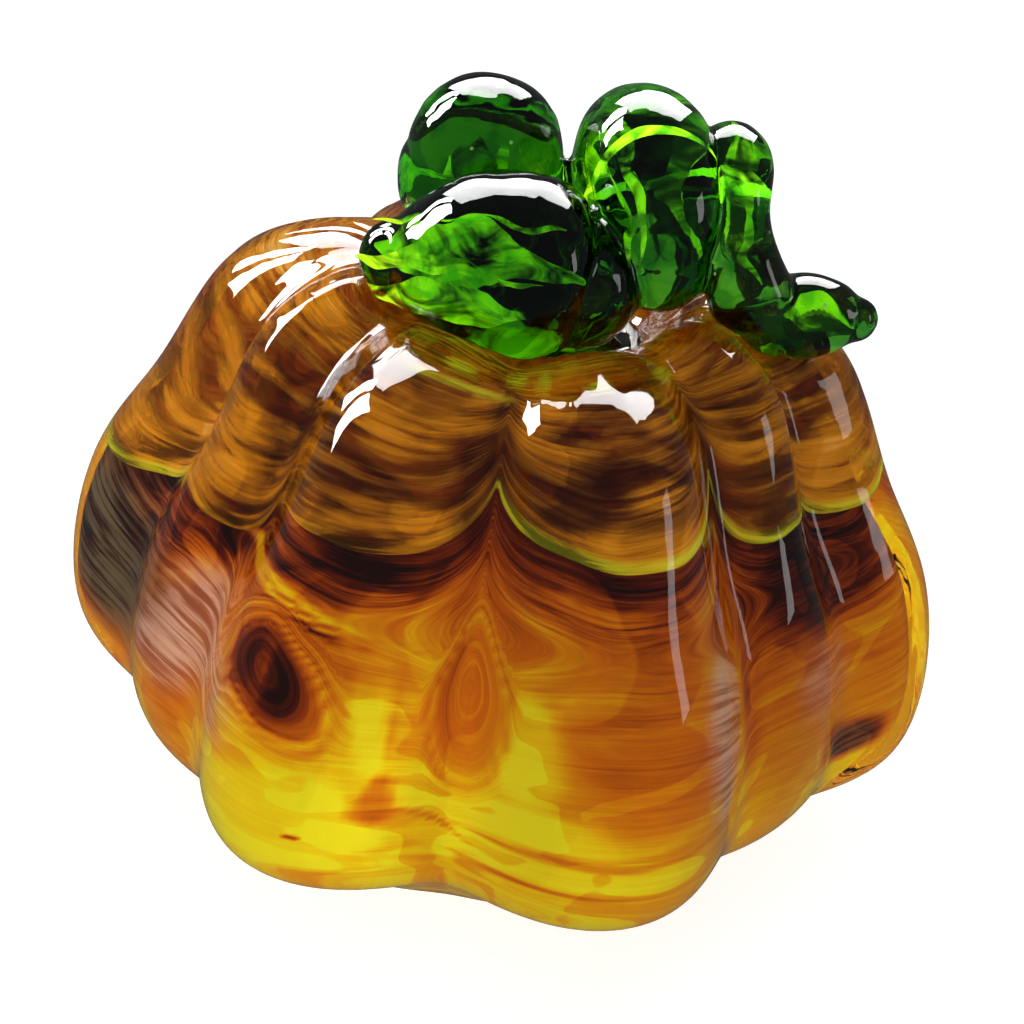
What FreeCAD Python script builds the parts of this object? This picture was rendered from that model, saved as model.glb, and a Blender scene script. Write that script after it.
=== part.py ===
"""Hot-worked glass pumpkin: a ribbed, cased glass body with a coiled green glass stem.

Millimetres, +Z up.  The body stands on z = 0 and the middle of the whole figure's outline
is over the origin, so the body's blowing axis stands a little off it.  Azimuths are in
degrees, 0 towards the front (-Y) and growing towards +X.
"""
import FreeCAD, Part
import math
import os

Vec = FreeCAD.Vector

# ---- body ----------------------------------------------------------------------------
BODY_RADIUS = 42.0          # axis to the fullest height of a plain lobe
BODY_HEIGHT = 61.5          # table to the crown ridge
RIB_DEPTH = 6.0             # how deep the grooves between lobes are
UNDERSIDE_LIFT = 2.7        # how far the middle of the underside is hollowed above the table
RIM_OVERRUN = 1.8           # control height of the round rim below the table; it is ground flat
CROWN_DIMPLE = 10.5         # floor of the dimple under the crown ridge
DIMPLE_FLOOR_RADIUS = 9.0
RIDGE_RADIUS_GAIN = 8.0     # crown ridge outside the dimple floor
RIDGE_CONTROL = 1.025       # height of the ridge's control point, in body heights
RIDGE_GROOVE = 0.2          # how deep a groove still is at the ridge, in rib depths
DIMPLE_WALL = (1.5, 0.3)    # foot of the dimple's wall: outside its floor, share of its depth up
DIMPLE_WALL_SAG = 0.4       # share of the front's sag there
UNDERSIDE_RADII = (2.0, 8.0, 15.0)
UNDERSIDE_EASE = 0.45       # share of the underside's lift left at the last of those radii
RIM_CONTROL = 0.55          # radius of the rim's control point, in body radii

CASING_WALL = 3.6           # outer clear gather
COLOUR_WALL = 1.2           # colour layer under it
LINING_WALL = 2.8           # inner clear gather, round the air bubble
COLOUR_SPLIT = 22.0         # height where amber colour gives way to yellow

# ---- what is fused to the body -------------------------------------------------------
NECK_HOLE_RADIUS = 4.0      # blowing hole, which the stem's seal closes
PLUG_LENGTH = 5.0           # how far the seal runs down the blowing hole
SEAL_RADIUS = 11.5
SEAL_DEPTH = 6.0            # top of the seal under the crown ridge
SEAL_EDGE = 1.5             # rounding of the seal's edge
SEAL_EDGE_LIMIT = 0.4       # that rounding is at most this share of the seal's thickness
BUTTON_RADIUS = 5.0
BUTTON_DROP = 1.3           # how far the pontil button stands out of the hollow underside
FRONT_SAG = 3.0             # how far the front of the crown sank under the stem's weight
START_DEPTH = 1.0           # how deep a fused piece starts inside the glass that trims it

# Lobe boundaries round the body, and how much fuller each lobe is than a plain one.
GROOVES = [-45, -3, 41, 70, 106, 148, 190, 235, 282]
FULLNESS = [0.10, 0.11, -0.11, 0.06, 0.0, 0.0, 0.0, 0.10, -0.10]
POLES_PER_LOBE = 6
LOBE_ROUNDING = 1.2         # power of the sine across a lobe; more makes the grooves wider
FULLNESS_FADE = 1.25        # how fast a lobe's extra fullness goes as the radius shrinks

# Control points of a lobe's meridian, from the rim up to the crown: share of the body
# radius, share of the body height, groove depth as a share of the rib depth, how far the
# groove lies below the lobe as a share of the body height, and share of the front's sag.
MERIDIAN = [
    (0.80, 0.135, 0.30, -0.010, 0.0),
    (1.085, 0.175, 0.85, -0.010, 0.0),
    (1.045, 0.545, 1.00, 0.020, 0.0),
    (0.880, 0.690, 1.00, 0.030, 0.1),
    (0.775, 0.930, 0.85, 0.045, 0.6),
    (0.575, 1.005, 0.50, 0.035, 1.0),
]

# The stem's pieces in the order they were laid, as (x, y, rise, radius): x and y from the
# blowing axis, rise of the rope's centre, and the rope's radius there.  The three pieces
# in the dimple rise from the crown ridge, the last two from the glass under their foot.
FRONT_LOBE = [(-14.0, -10.2, 2.4, 3.8), (-11.2, -10.6, 2.8, 6.4), (-7.5, -11.0, 3.1, 8.6),
              (-3.2, -11.0, 2.9, 9.7), (0.6, -10.8, 2.6, 9.2), (3.4, -10.4, 2.0, 6.6)]
BACK_LOBE = [(-5.6, 4.4, -3.0, 6.4), (-6.2, 4.8, 2.0, 7.6), (-7.1, 5.2, 6.6, 8.8),
             (-7.1, 5.0, 9.6, 8.0)]
MIDDLE_LOOP = [(5.8, 6.3, 0.5, 4.6), (6.4, 6.3, 7.6, 5.0), (7.8, 2.7, 12.6, 6.0),
               (9.3, -2.7, 13.5, 6.3), (10.8, -6.8, 9.4, 6.1), (11.5, -7.9, 4.6, 5.0)]
END_LOOP = [(16.8, 5.4, 5.0, 3.0), (17.0, 2.7, 13.6, 3.5), (17.7, -1.8, 15.6, 3.7),
            (18.2, -5.4, 11.0, 3.5), (19.4, -6.8, 7.0, 4.0), (20.8, -6.6, 4.0, 4.4)]
END_FOOT = (21.2, -6.4)
TAIL = [(23.4, -5.6, 2.0, 4.0), (26.6, -5.0, 2.3, 4.4), (29.8, -4.6, 2.5, 3.6),
        (31.8, -4.5, 2.5, 2.3)]
TAIL_FOOT = (24.6, -5.4)
ROPE_POLES = 8              # control points round the rope
ROPE_SEAM = (1, -1, 0)      # side where a rope's surface closes; no rope sets out along it
ROPE_STEPS = 3              # control sections from one station to the next
ROUND_END = [(0.4, 0.92), (0.8, 0.7), (1.0, 0.38), (1.0, 0.08)]  # length, width in radii

FAR = 200.0                 # larger than the figure, for cutting boxes


# ---- surfaces ------------------------------------------------------------------------
def skin(columns):
    """Smooth solid over columns of control points that run round it, with flat ends."""
    around = len(columns)
    spans = len(columns[0]) - 3
    surface = Part.BSplineSurface()
    surface.buildFromPolesMultsKnots(
        columns,
        [1] * (around + 1), [4] + [1] * (spans - 1) + [4],
        [float(knot) for knot in range(around + 1)], [float(knot) for knot in range(spans + 1)],
        True, False, 3, 3)
    side = surface.toShape().Faces[0]
    rings = [edge for edge in side.Edges if edge.isClosed() and not edge.isSeam(side)]
    shell = Part.Shell([side] + [Part.Face(Part.Wire([ring])) for ring in rings])
    shell.sewShape()
    return Part.Solid(Part.Shell(shell.Faces))


def meridian(fullness, crest, azimuth):
    """(r, z) control points from the underside to the dimple floor.

    crest runs from 0 in a groove to 1 along the middle of a lobe.
    """
    sag = FRONT_SAG * max(0.0, math.cos(azimuth)) ** 2
    floor = BODY_HEIGHT - CROWN_DIMPLE
    heights = (UNDERSIDE_LIFT, UNDERSIDE_LIFT, UNDERSIDE_EASE * UNDERSIDE_LIFT)
    points = list(zip(UNDERSIDE_RADII, heights)) + [(RIM_CONTROL * BODY_RADIUS, -RIM_OVERRUN)]
    for radius, height, depth, lower, sagging in MERIDIAN:
        groove = BODY_RADIUS * radius - RIB_DEPTH * depth
        extra = fullness * min(1.0, 1 - FULLNESS_FADE * (1 - radius))
        lobe = BODY_RADIUS * radius * (1 + extra)
        points.append((groove + (lobe - groove) * crest,
                       BODY_HEIGHT * (height - lower * (1 - crest)) - sag * sagging))
    points.append((DIMPLE_FLOOR_RADIUS + RIDGE_RADIUS_GAIN,
                   BODY_HEIGHT * RIDGE_CONTROL - RIDGE_GROOVE * RIB_DEPTH * (1 - crest) - sag))
    out, up = DIMPLE_WALL
    points.append((DIMPLE_FLOOR_RADIUS + out, floor + up * CROWN_DIMPLE - DIMPLE_WALL_SAG * sag))
    points.append((DIMPLE_FLOOR_RADIUS, floor))
    return points


def inset(points, wall):
    """A meridian moved into the glass by one wall thickness."""
    first = [(r, z + wall) for r, z in points[:2]]
    middle = []
    for before, (r, z), after in zip(points[1:], points[2:], points[3:]):
        along_r = after[0] - before[0]
        along_z = after[1] - before[1]
        length = math.hypot(along_r, along_z)
        middle.append((r - wall * along_z / length, z + wall * along_r / length))
    r, z = points[-1]
    return first + middle + [(r + 0.5 * wall, z - wall)]


def body(wall):
    """The body as one filled solid, a wall thickness inside its outer surface."""
    columns = []
    for lobe, fullness in enumerate(FULLNESS):
        start = GROOVES[lobe]
        end = (GROOVES + [GROOVES[0] + 360])[lobe + 1]
        for step in range(POLES_PER_LOBE):
            share = step / POLES_PER_LOBE
            azimuth = math.radians(start + share * (end - start))
            crest = math.sin(math.pi * share) ** LOBE_ROUNDING
            points = inset(meridian(fullness, crest, azimuth), wall)
            columns.append([Vec(r * math.sin(azimuth), -r * math.cos(azimuth), z)
                            for r, z in points])
    return skin(columns)


# ---- the stem's rope -----------------------------------------------------------------
def height_of_glass(x, y, glass):
    """Height of the glass's upper surface over a place on the table."""
    upright = Part.makeLine(Vec(x, y, -FAR), Vec(x, y, FAR))
    return upright.common(glass).BoundBox.ZMax


def smooth_route(stations):
    """Centres with radii on a smooth curve through the stations."""
    before = [2 * a - b for a, b in zip(stations[0], stations[1])]
    after = [2 * a - b for a, b in zip(stations[-1], stations[-2])]
    line = [before] + stations + [after]
    route = []
    for index in range(len(stations) - 1):
        for step in range(ROPE_STEPS):
            t = step / ROPE_STEPS
            route.append([b + 0.5 * t * ((c - a) + t * (2 * a - 5 * b + 4 * c - d)
                                         + t * t * (3 * b - a - 3 * c + d))
                          for a, b, c, d in zip(*line[index:index + 4])])
    return route + [stations[-1]]


def rope(stations, level):
    """Round rope of changing radius, with rounded ends; its rises are from a level."""
    route = smooth_route([[x, y, level + rise, radius] for x, y, rise, radius in stations])
    centres = [Vec(x, y, z) for x, y, z, radius in route]
    ahead = centres[1:] + centres[-1:]
    behind = centres[:1] + centres[:-1]
    sections = [(middle, (after - before).normalize(), stop[3])
                for middle, after, before, stop in zip(centres, ahead, behind, route)]
    first, last = sections[0], sections[-1]
    for far, wide in ROUND_END:
        sections.insert(0, (first[0] - first[1] * (first[2] * far), first[1], first[2] * wide))
        sections.append((last[0] + last[1] * (last[2] * far), last[1], last[2] * wide))
    columns = [[] for turn in range(ROPE_POLES)]
    side = Vec(*ROPE_SEAM)
    for middle, along, radius in sections:
        side = (side - along * side.dot(along)).normalize()
        across = along.cross(side)
        # the control points of a round section stand outside it
        reach = radius * 3 / (2 + math.cos(2 * math.pi / ROPE_POLES))
        for turn, column in enumerate(columns):
            angle = 2 * math.pi * turn / ROPE_POLES
            column.append(middle + side * (reach * math.cos(angle))
                          + across * (reach * math.sin(angle)))
    return skin(columns)


# ---- pieces --------------------------------------------------------------------------
def box_from(height, tall):
    """A block wider than the figure, from one height up."""
    return Part.makeBox(2 * FAR, 2 * FAR, tall, Vec(-FAR, -FAR, height))


def body_layers(filled):
    """The four layers of the blown body, each open at the blowing hole."""
    hole = Part.makeCylinder(NECK_HOLE_RADIUS, BODY_HEIGHT, Vec(0, 0, 0.5 * BODY_HEIGHT))
    under_casing = body(CASING_WALL)
    under_colour = body(CASING_WALL + COLOUR_WALL)
    bubble = body(CASING_WALL + COLOUR_WALL + LINING_WALL)
    colour = under_casing.cut(under_colour).cut(hole)
    upper = box_from(COLOUR_SPLIT, FAR)
    return {
        "clear_casing": filled.cut(under_casing).cut(hole),
        "amber_layer": colour.common(upper),
        "yellow_layer": colour.cut(upper),
        "inner_gather": under_colour.cut(bubble).cut(hole),
    }


def pontil_button(filled):
    """Disc of glass left where the body was held from below."""
    disc = Part.makeCylinder(BUTTON_RADIUS, BUTTON_DROP + START_DEPTH,
                             Vec(0, 0, UNDERSIDE_LIFT - BUTTON_DROP))
    return disc.cut(filled)


def stem_seal(filled):
    """Pad in the dimple, with a plug that runs down the blowing hole."""
    floor = BODY_HEIGHT - CROWN_DIMPLE
    top = BODY_HEIGHT - SEAL_DEPTH
    pad = Part.makeCylinder(SEAL_RADIUS, top - floor + START_DEPTH,
                            Vec(0, 0, floor - START_DEPTH))
    rim = [edge for edge in pad.Edges if edge.isClosed() and edge.BoundBox.ZMin > floor]
    pad = pad.makeFillet(min(SEAL_EDGE, SEAL_EDGE_LIMIT * (top - floor)), rim)
    plug = Part.makeCylinder(NECK_HOLE_RADIUS, PLUG_LENGTH, Vec(0, 0, floor - PLUG_LENGTH))
    return pad.cut(filled).fuse(plug).removeSplitter()


def stem_pieces(filled):
    """The seal and the turns of the rope, each pressed against what was there before it."""
    seal = stem_seal(filled)
    front = rope(FRONT_LOBE, BODY_HEIGHT).cut(filled).cut(seal)
    back = rope(BACK_LOBE, BODY_HEIGHT).cut(filled).cut(seal).cut(front)
    middle = rope(MIDDLE_LOOP, BODY_HEIGHT).cut(filled).cut(seal).cut(front).cut(back)
    end = rope(END_LOOP, height_of_glass(*END_FOOT, filled)).cut(filled).cut(middle)
    tail = rope(TAIL, height_of_glass(*TAIL_FOOT, filled)).cut(filled).cut(end)
    return {"stem_seal": seal, "stem_front_lobe": front, "stem_back_lobe": back,
            "stem_middle_loop": middle, "stem_end_loop": end, "stem_tail": tail}


def build():
    """Every node's shape by name, about the blowing axis."""
    filled = body(0).cut(box_from(-FAR, FAR))
    nodes = body_layers(filled)
    nodes["pontil_button"] = pontil_button(filled)
    nodes.update(stem_pieces(filled))
    return nodes


def centre(nodes):
    """Move the figure so that the middle of its outline is over the origin."""
    outline = Part.makeCompound(list(nodes.values())).optimalBoundingBox(False)
    shift = Vec(-0.5 * (outline.XMin + outline.XMax), -0.5 * (outline.YMin + outline.YMax), 0)
    for shape in nodes.values():
        shape.translate(shift)


def main():
    os.makedirs("parts", exist_ok=True)
    nodes = build()
    centre(nodes)
    for name, shape in nodes.items():
        solids = shape.Solids
        if len(solids) != 1 or not shape.isValid():
            raise ValueError(f"{name}: {len(solids)} solids, valid {shape.isValid()}")
        solids[0].exportStep("parts/" + name + ".step")
        print(f"{name}: {shape.Volume:.0f} mm3")


if __name__ == "__main__":
    main()
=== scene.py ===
"""Glass pumpkin figure: clear casing, coloured coats, green stem, dressed around its CAD frame."""

import logging
import math
from dataclasses import dataclass, field
from enum import Enum
from typing import Any

import bpy
import numpy as np
from mathutils import Matrix, Vector


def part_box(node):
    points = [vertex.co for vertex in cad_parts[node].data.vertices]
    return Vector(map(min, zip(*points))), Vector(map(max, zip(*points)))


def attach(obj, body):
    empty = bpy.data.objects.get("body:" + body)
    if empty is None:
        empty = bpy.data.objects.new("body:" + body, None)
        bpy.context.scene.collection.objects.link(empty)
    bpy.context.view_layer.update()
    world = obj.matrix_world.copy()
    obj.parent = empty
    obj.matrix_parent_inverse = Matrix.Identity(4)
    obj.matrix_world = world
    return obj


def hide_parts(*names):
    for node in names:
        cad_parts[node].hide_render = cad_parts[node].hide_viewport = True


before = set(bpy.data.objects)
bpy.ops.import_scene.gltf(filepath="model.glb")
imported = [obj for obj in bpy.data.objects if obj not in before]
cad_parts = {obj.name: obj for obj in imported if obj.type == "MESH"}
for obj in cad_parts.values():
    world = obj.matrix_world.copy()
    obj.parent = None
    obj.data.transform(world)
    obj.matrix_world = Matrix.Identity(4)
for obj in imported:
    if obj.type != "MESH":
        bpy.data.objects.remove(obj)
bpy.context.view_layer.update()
LOG = logging.getLogger("glass_pumpkin")
MM = 0.001
FULL_TURN = 360.0
NOISE_MIDDLE = 0.5
WHITE = (1.0, 1.0, 1.0)
LEVEL_MM = 110.0            # about how long one unit of height share is on the body
SEED_SKIN = 0.72            # radius of the hidden skin that holds the seeds, in rope radii
WRINKLE_DEPTH = 0.7         # millimetres, on the casing's shoulders
AIM_HEIGHT = 29.7           # millimetres, where the camera and the lamps point


class Slot(Enum):
    """The record's material slots."""

    CLEAR = "clear_glass"
    AMBER = "amber_glass"
    YELLOW = "yellow_glass"
    GREEN = "green_glass"


# ---- node trees ----------------------------------------------------------------------
class Term:
    """A node socket that takes part in arithmetic."""

    def __init__(self, bench: "Bench", socket: bpy.types.NodeSocket) -> None:
        """Keeps the socket and the bench that adds nodes for it."""
        self.bench = bench
        self.socket = socket

    def __add__(self, other: Any) -> "Term":
        """Sum."""
        return self.bench.maths("ADD", self, other)

    __radd__ = __add__

    def __sub__(self, other: Any) -> "Term":
        """Difference."""
        return self.bench.maths("SUBTRACT", self, other)

    def __rsub__(self, other: Any) -> "Term":
        """Difference the other way round."""
        return self.bench.maths("SUBTRACT", other, self)

    def __mul__(self, other: Any) -> "Term":
        """Product."""
        return self.bench.maths("MULTIPLY", self, other)

    __rmul__ = __mul__


class Bench:
    """The one place where nodes are added to a tree."""

    def __init__(self, tree: bpy.types.NodeTree) -> None:
        """Starts on an empty tree."""
        self.tree = tree
        tree.nodes.clear()

    def node(self, kind: str, settings: dict | None = None,
             values: dict | None = None) -> bpy.types.Node:
        """Adds one node.

        Args:
            kind: the node's type.
            settings: its own settings; "stops" are a ramp's places and colours.
            values: numbers or links for its sockets, by name or place.

        Returns:
            The node.
        """
        node = self.tree.nodes.new(kind)
        for name, value in (settings or {}).items():
            if name == "stops":
                self._ramp(node.color_ramp, value)
            else:
                setattr(node, name, value)
        for name, value in (values or {}).items():
            self.feed(node.inputs[name], value)
        return node

    @staticmethod
    def _ramp(ramp: bpy.types.ColorRamp, stops: list) -> None:
        """Sets a ramp's places and colours.

        Args:
            ramp: the ramp.
            stops: places with their linear colours.
        """
        while len(ramp.elements) < len(stops):
            ramp.elements.new(0.5)
        for element, (place, colour) in zip(ramp.elements, stops):
            element.position = place
            element.color = (*colour, 1.0)

    def feed(self, socket: bpy.types.NodeSocket, value: Any) -> None:
        """Links a term or another socket, or sets a plain value.

        Args:
            socket: the socket to fill.
            value: a term, a socket, a number or a vector.
        """
        if isinstance(value, Term):
            value = value.socket
        if isinstance(value, bpy.types.NodeSocket):
            self.tree.links.new(value, socket)
        else:
            socket.default_value = value

    def term(self, kind: str, output: Any = 0, settings: dict | None = None,
             values: dict | None = None) -> Term:
        """Adds one node and returns one of its outputs as a term."""
        return Term(self, self.node(kind, settings, values).outputs[output])

    def maths(self, operation: str, *values: Any) -> Term:
        """Adds a Math node."""
        return self.term("ShaderNodeMath", 0, {"operation": operation},
                         dict(enumerate(values)))

    def scaled(self, vector: Any, by: tuple) -> Term:
        """A vector stretched by three factors."""
        return self.term("ShaderNodeVectorMath", 0, {"operation": "MULTIPLY"},
                         {0: vector, 1: by})

    def between(self, value: Any, low: float, high: float) -> Term:
        """Smooth step of a value from 0 at low to 1 at high."""
        return self.term("ShaderNodeMapRange", 0, {"interpolation_type": "SMOOTHSTEP"},
                         {0: value, 1: low, 2: high})

    def blend(self, share: Any, first: Any, second: Any) -> Term:
        """Mixes two colours."""
        return self.term("ShaderNodeMix", 2, {"data_type": "RGBA"},
                         {0: share, 6: first, 7: second})

    def noise(self, vector: Any, scale: float, detail: float = 3.0,
              roughness: float = 0.5, distortion: float = 0.0) -> Term:
        """Noise value over a vector.

        Args:
            vector: where to look it up.
            scale: features for each unit.
            detail: octaves.
            roughness: how strong the finer octaves are.
            distortion: how far it is warped.

        Returns:
            The value, about one half.
        """
        return self.term("ShaderNodeTexNoise", 0, None,
                         {"Vector": vector, "Scale": scale, "Detail": detail,
                          "Roughness": roughness, "Distortion": distortion})

    def attribute(self, name: str, output: str = "Fac") -> Term:
        """A piece's own attribute, in a material."""
        return self.term("ShaderNodeAttribute", output, {"attribute_name": name})


@dataclass(frozen=True)
class Grain:
    """One noise: how its place is stretched, its scale and its character."""

    stretch: tuple
    scale: float = 1.0
    detail: float = 3.0
    roughness: float = 0.5
    distortion: float = 0.0

    def over(self, bench: Bench, place: Any) -> Term:
        """The noise's value, about one half, over a place."""
        return bench.noise(bench.scaled(place, self.stretch), self.scale, self.detail,
                           self.roughness, self.distortion)


def shop_material(name: str) -> tuple[bpy.types.Material, Bench]:
    """A new material and the bench for its tree.

    Args:
        name: the material's name.

    Returns:
        The material and its bench.
    """
    material = bpy.data.materials.new(name)
    material.use_nodes = True
    return material, Bench(material.node_tree)


def srgb(red: int, green: int, blue: int) -> tuple[float, float, float]:
    """Linear colour of a display colour.

    Args:
        red: from 0 to 255.
        green: from 0 to 255.
        blue: from 0 to 255.

    Returns:
        The three linear values.
    """
    return tuple((c / 255 / 12.92) if c < 10.3 else ((c / 255 + 0.055) / 1.055) ** 2.4
                 for c in (red, green, blue))


# ---- finishes ------------------------------------------------------------------------
@dataclass(frozen=True)
class ClearGlass:
    """Polished glass that lamps can shine through, with swirls of a second tint."""

    name: str = "clear_casing_glass"
    tint: tuple = WHITE
    swirl_tint: tuple = (0.97, 0.96, 0.93)
    shade: tuple = WHITE
    swirls: float = 150.0
    stretch: tuple = (1.0, 1.0, 0.35)
    swirl_edge: tuple = (0.42, 0.60)
    waves_per_swirl: float = 3.0
    ripple: float = 0.03
    haze: float = 0.02
    index: float = 1.5
    density: float = 0.0
    depth_colour: tuple = WHITE

    def material(self) -> bpy.types.Material:
        """Builds the material.

        Returns:
            The material.
        """
        material, bench = shop_material(self.name)
        place = bench.scaled(bench.term("ShaderNodeTexCoord", "Object"), self.stretch)
        swirl = bench.noise(place, self.swirls, detail=2.0, distortion=1.6)
        colour = bench.blend(bench.between(swirl, *self.swirl_edge), (*self.tint, 1.0),
                             (*self.swirl_tint, 1.0))
        wave = bench.noise(place, self.swirls * self.waves_per_swirl, detail=1.0)
        normal = bench.term("ShaderNodeBump", 0, None, {
            "Strength": self.ripple, "Distance": MM, "Height": wave})
        glass = bench.node("ShaderNodeBsdfPrincipled", None, {
            "Base Color": colour, "Roughness": swirl * self.haze, "IOR": self.index,
            "Transmission Weight": 1.0, "Normal": normal})
        open_way = bench.node("ShaderNodeBsdfTransparent", None, {0: (*self.shade, 1.0)})
        path = bench.node("ShaderNodeLightPath")
        mixed = bench.node("ShaderNodeMixShader", None,
                           {0: path.outputs["Is Shadow Ray"], 1: glass.outputs[0],
                            2: open_way.outputs[0]})
        sinks = {"Surface": mixed.outputs[0]}
        if self.density > 0:
            depth = bench.node("ShaderNodeVolumeAbsorption", None, {
                "Color": (*self.depth_colour, 1.0), "Density": self.density})
            sinks["Volume"] = depth.outputs[0]
        bench.node("ShaderNodeOutputMaterial", None, sinks)
        return material


@dataclass(frozen=True)
class StreakedGlass:
    """Coloured glass drawn into streaks that follow the piece's own flow, with a painted glow: its
    emission stands in for light shining through the coat.
    """

    name: str
    stops: tuple
    glow: float
    fine: float
    broad: float
    folds: float = 0.12
    hair_share: float = 0.45
    tints: tuple = ()
    veil: bool = False
    broad_grain: Grain = Grain((0.08, 0.08, 0.20), distortion=0.9)
    brush_grain: Grain = Grain((0.04, 0.04, 0.85), 1.3, 4.0, 0.60, 0.45)
    hair_grain: Grain = Grain((0.10, 0.10, 3.0), 1.6, 3.0, 0.60, 0.30)
    fold_grain: Grain = Grain((0.06, 0.06, 0.10), 1.0, 1.0, 0.4, 1.4)
    fold_edge: tuple = (0.50, 0.53)
    tint_edge: tuple = (0.38, 0.62)
    tint_drift: float = 0.5
    veil_edge: tuple = (0.40, 0.56)
    veil_drift: float = 0.7
    veil_thin: float = 0.30
    veil_gain: float = 1.25

    def material(self) -> bpy.types.Material:
        """Builds the material.

        Returns:
            The material.
        """
        material, bench = shop_material(self.name)
        flow = bench.attribute("flow", "Vector")
        streak = bench.attribute("streak")
        drift = self.broad_grain.over(bench, flow) - NOISE_MIDDLE
        brush = self.brush_grain.over(bench, flow)
        hair = self.hair_grain.over(bench, flow) - NOISE_MIDDLE
        fold = bench.between(self.fold_grain.over(bench, flow), *self.fold_edge)
        tone = (bench.attribute("tone") + drift * self.broad * streak
                + (brush - NOISE_MIDDLE) * self.fine * streak
                + hair * self.hair_share * self.fine * streak
                + (fold - NOISE_MIDDLE) * self.folds)
        colour = bench.term("ShaderNodeValToRGB", 0, {"stops": list(self.stops)}, {0: tone})
        for attribute, dark, light in self.tints:
            tint = bench.blend(
                bench.between(brush + drift * self.tint_drift, *self.tint_edge),
                (*dark, 1.0), (*light, 1.0))
            colour = bench.blend(bench.attribute(attribute), colour, tint)
        # painted glow: the emission repeats the colour, standing in for light shining through the
        # glass
        values = {"Base Color": colour, "Emission Color": colour,
                  "Emission Strength": self.glow, "Roughness": 0.6,
                  "Specular IOR Level": 0.0}
        if self.veil:
            thick = bench.between(brush + drift * self.veil_drift, *self.veil_edge)
            cover = bench.attribute("cover") * (self.veil_thin + self.veil_gain * thick)
            values["Alpha"] = bench.maths("MINIMUM", cover, 1.0)
        glass = bench.node("ShaderNodeBsdfPrincipled", None, values)
        bench.node("ShaderNodeOutputMaterial", None, {"Surface": glass.outputs[0]})
        return material


@dataclass(frozen=True)
class GlowingVeil:
    """Thin veil of another green caught inside the green glass; its emission is a painted glow,
    and its dark versions are sheets of painted shade.
    """

    name: str = "lime_glow_veil"
    deep: tuple = srgb(70, 130, 5)
    light: tuple = srgb(190, 240, 30)
    # painted glow: the emission stands in for light shining through the stem
    glow: float = 1.1
    cloud: Grain = Grain((210.0, 210.0, 300.0), 1.0, 3.0, 0.6, 1.0)
    colour_edge: tuple = (0.35, 0.65)
    cover_edge: tuple = (0.36, 0.66)
    cover: float = 0.85

    def material(self) -> bpy.types.Material:
        """Builds the material.

        Returns:
            The material.
        """
        material, bench = shop_material(self.name)
        place = bench.term("ShaderNodeTexCoord", "Object")
        cloud = self.cloud.over(bench, place)
        colour = bench.blend(bench.between(cloud, *self.colour_edge), (*self.deep, 1.0),
                             (*self.light, 1.0))
        glass = bench.node("ShaderNodeBsdfPrincipled", None, {
            "Base Color": colour, "Emission Color": colour, "Emission Strength": self.glow,
            "Roughness": 0.5, "Specular IOR Level": 0.0,
            "Alpha": bench.between(cloud, *self.cover_edge) * self.cover})
        bench.node("ShaderNodeOutputMaterial", None, {"Surface": glass.outputs[0]})
        return material


@dataclass(frozen=True)
class SeedGlass:
    """Bright skin of a trapped gas seed: a painted glint, with colour and a glow standing in for
    the light that the bubble's skin catches.
    """

    name: str = "gas_seed_glint"
    colour: tuple = srgb(225, 245, 190)
    mottles: float = 900.0
    glow: float = 0.35

    def material(self) -> bpy.types.Material:
        """Builds the material.

        Returns:
            The material.
        """
        material, bench = shop_material(self.name)
        place = bench.term("ShaderNodeTexCoord", "Object")
        mottle = bench.noise(place, self.mottles, detail=1.0)
        colour = bench.blend(mottle, (*self.colour, 1.0), (*WHITE, 1.0))
        # painted glint: pale colour, white mottles and emission
        skin = bench.node("ShaderNodeBsdfPrincipled", None, {
            "Base Color": colour, "Emission Color": colour, "Emission Strength": self.glow,
            "Roughness": 0.1})
        bench.node("ShaderNodeOutputMaterial", None, {"Surface": skin.outputs[0]})
        return material


@dataclass(frozen=True)
class StudioPaper:
    """Pale plain paper under and behind the figure."""

    name: str
    glow: float
    colour: tuple = (0.45, 0.45, 0.45)
    fibre_colour: tuple = (0.4, 0.4, 0.4)
    fibres: float = 400.0
    fibre_share: float = 0.02

    def material(self) -> bpy.types.Material:
        """Builds the material.

        Returns:
            The material.
        """
        material, bench = shop_material(self.name)
        place = bench.term("ShaderNodeTexCoord", "Object")
        fibre = bench.noise(place, self.fibres, detail=2.0)
        colour = bench.blend(fibre * self.fibre_share, (*self.colour, 1.0),
                             (*self.fibre_colour, 1.0))
        paper = bench.node("ShaderNodeBsdfPrincipled", None, {
            "Base Color": colour, "Emission Color": colour, "Emission Strength": self.glow,
            "Roughness": 0.9, "Specular IOR Level": 0.0})
        bench.node("ShaderNodeOutputMaterial", None, {"Surface": paper.outputs[0]})
        return material


# ---- shared shaping ------------------------------------------------------------------
def smooth_step(value: np.ndarray, low: float, high: float) -> np.ndarray:
    """Smooth rise from 0 at low to 1 at high; low may be the larger of the two."""
    share = np.clip((value - low) / (high - low), 0.0, 1.0)
    return share * share * (3.0 - 2.0 * share)


def spline_weights(count: int, samples: np.ndarray, degree: int = 3) -> np.ndarray:
    """Weights of clamped spline poles.

    Args:
        count: the number of poles.
        samples: places from 0 to 1.
        degree: the spline's degree.

    Returns:
        One row of weights for each sample.
    """
    knots = np.concatenate([np.zeros(degree), np.linspace(0, 1, count - degree + 1),
                            np.ones(degree)])
    places = np.clip(samples, 0.0, 1.0 - 1e-9)[:, None]
    weights = ((places >= knots[:-1]) & (places < knots[1:])).astype(float)
    for step in range(1, degree + 1):
        left = np.maximum(knots[step:-1] - knots[:-1 - step], 1e-12)
        right = np.maximum(knots[step + 1:] - knots[1:-step], 1e-12)
        weights = ((places - knots[:-1 - step]) / left * weights[:, :-1]
                   + (knots[step + 1:] - places) / right * weights[:, 1:])
    return weights


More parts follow.
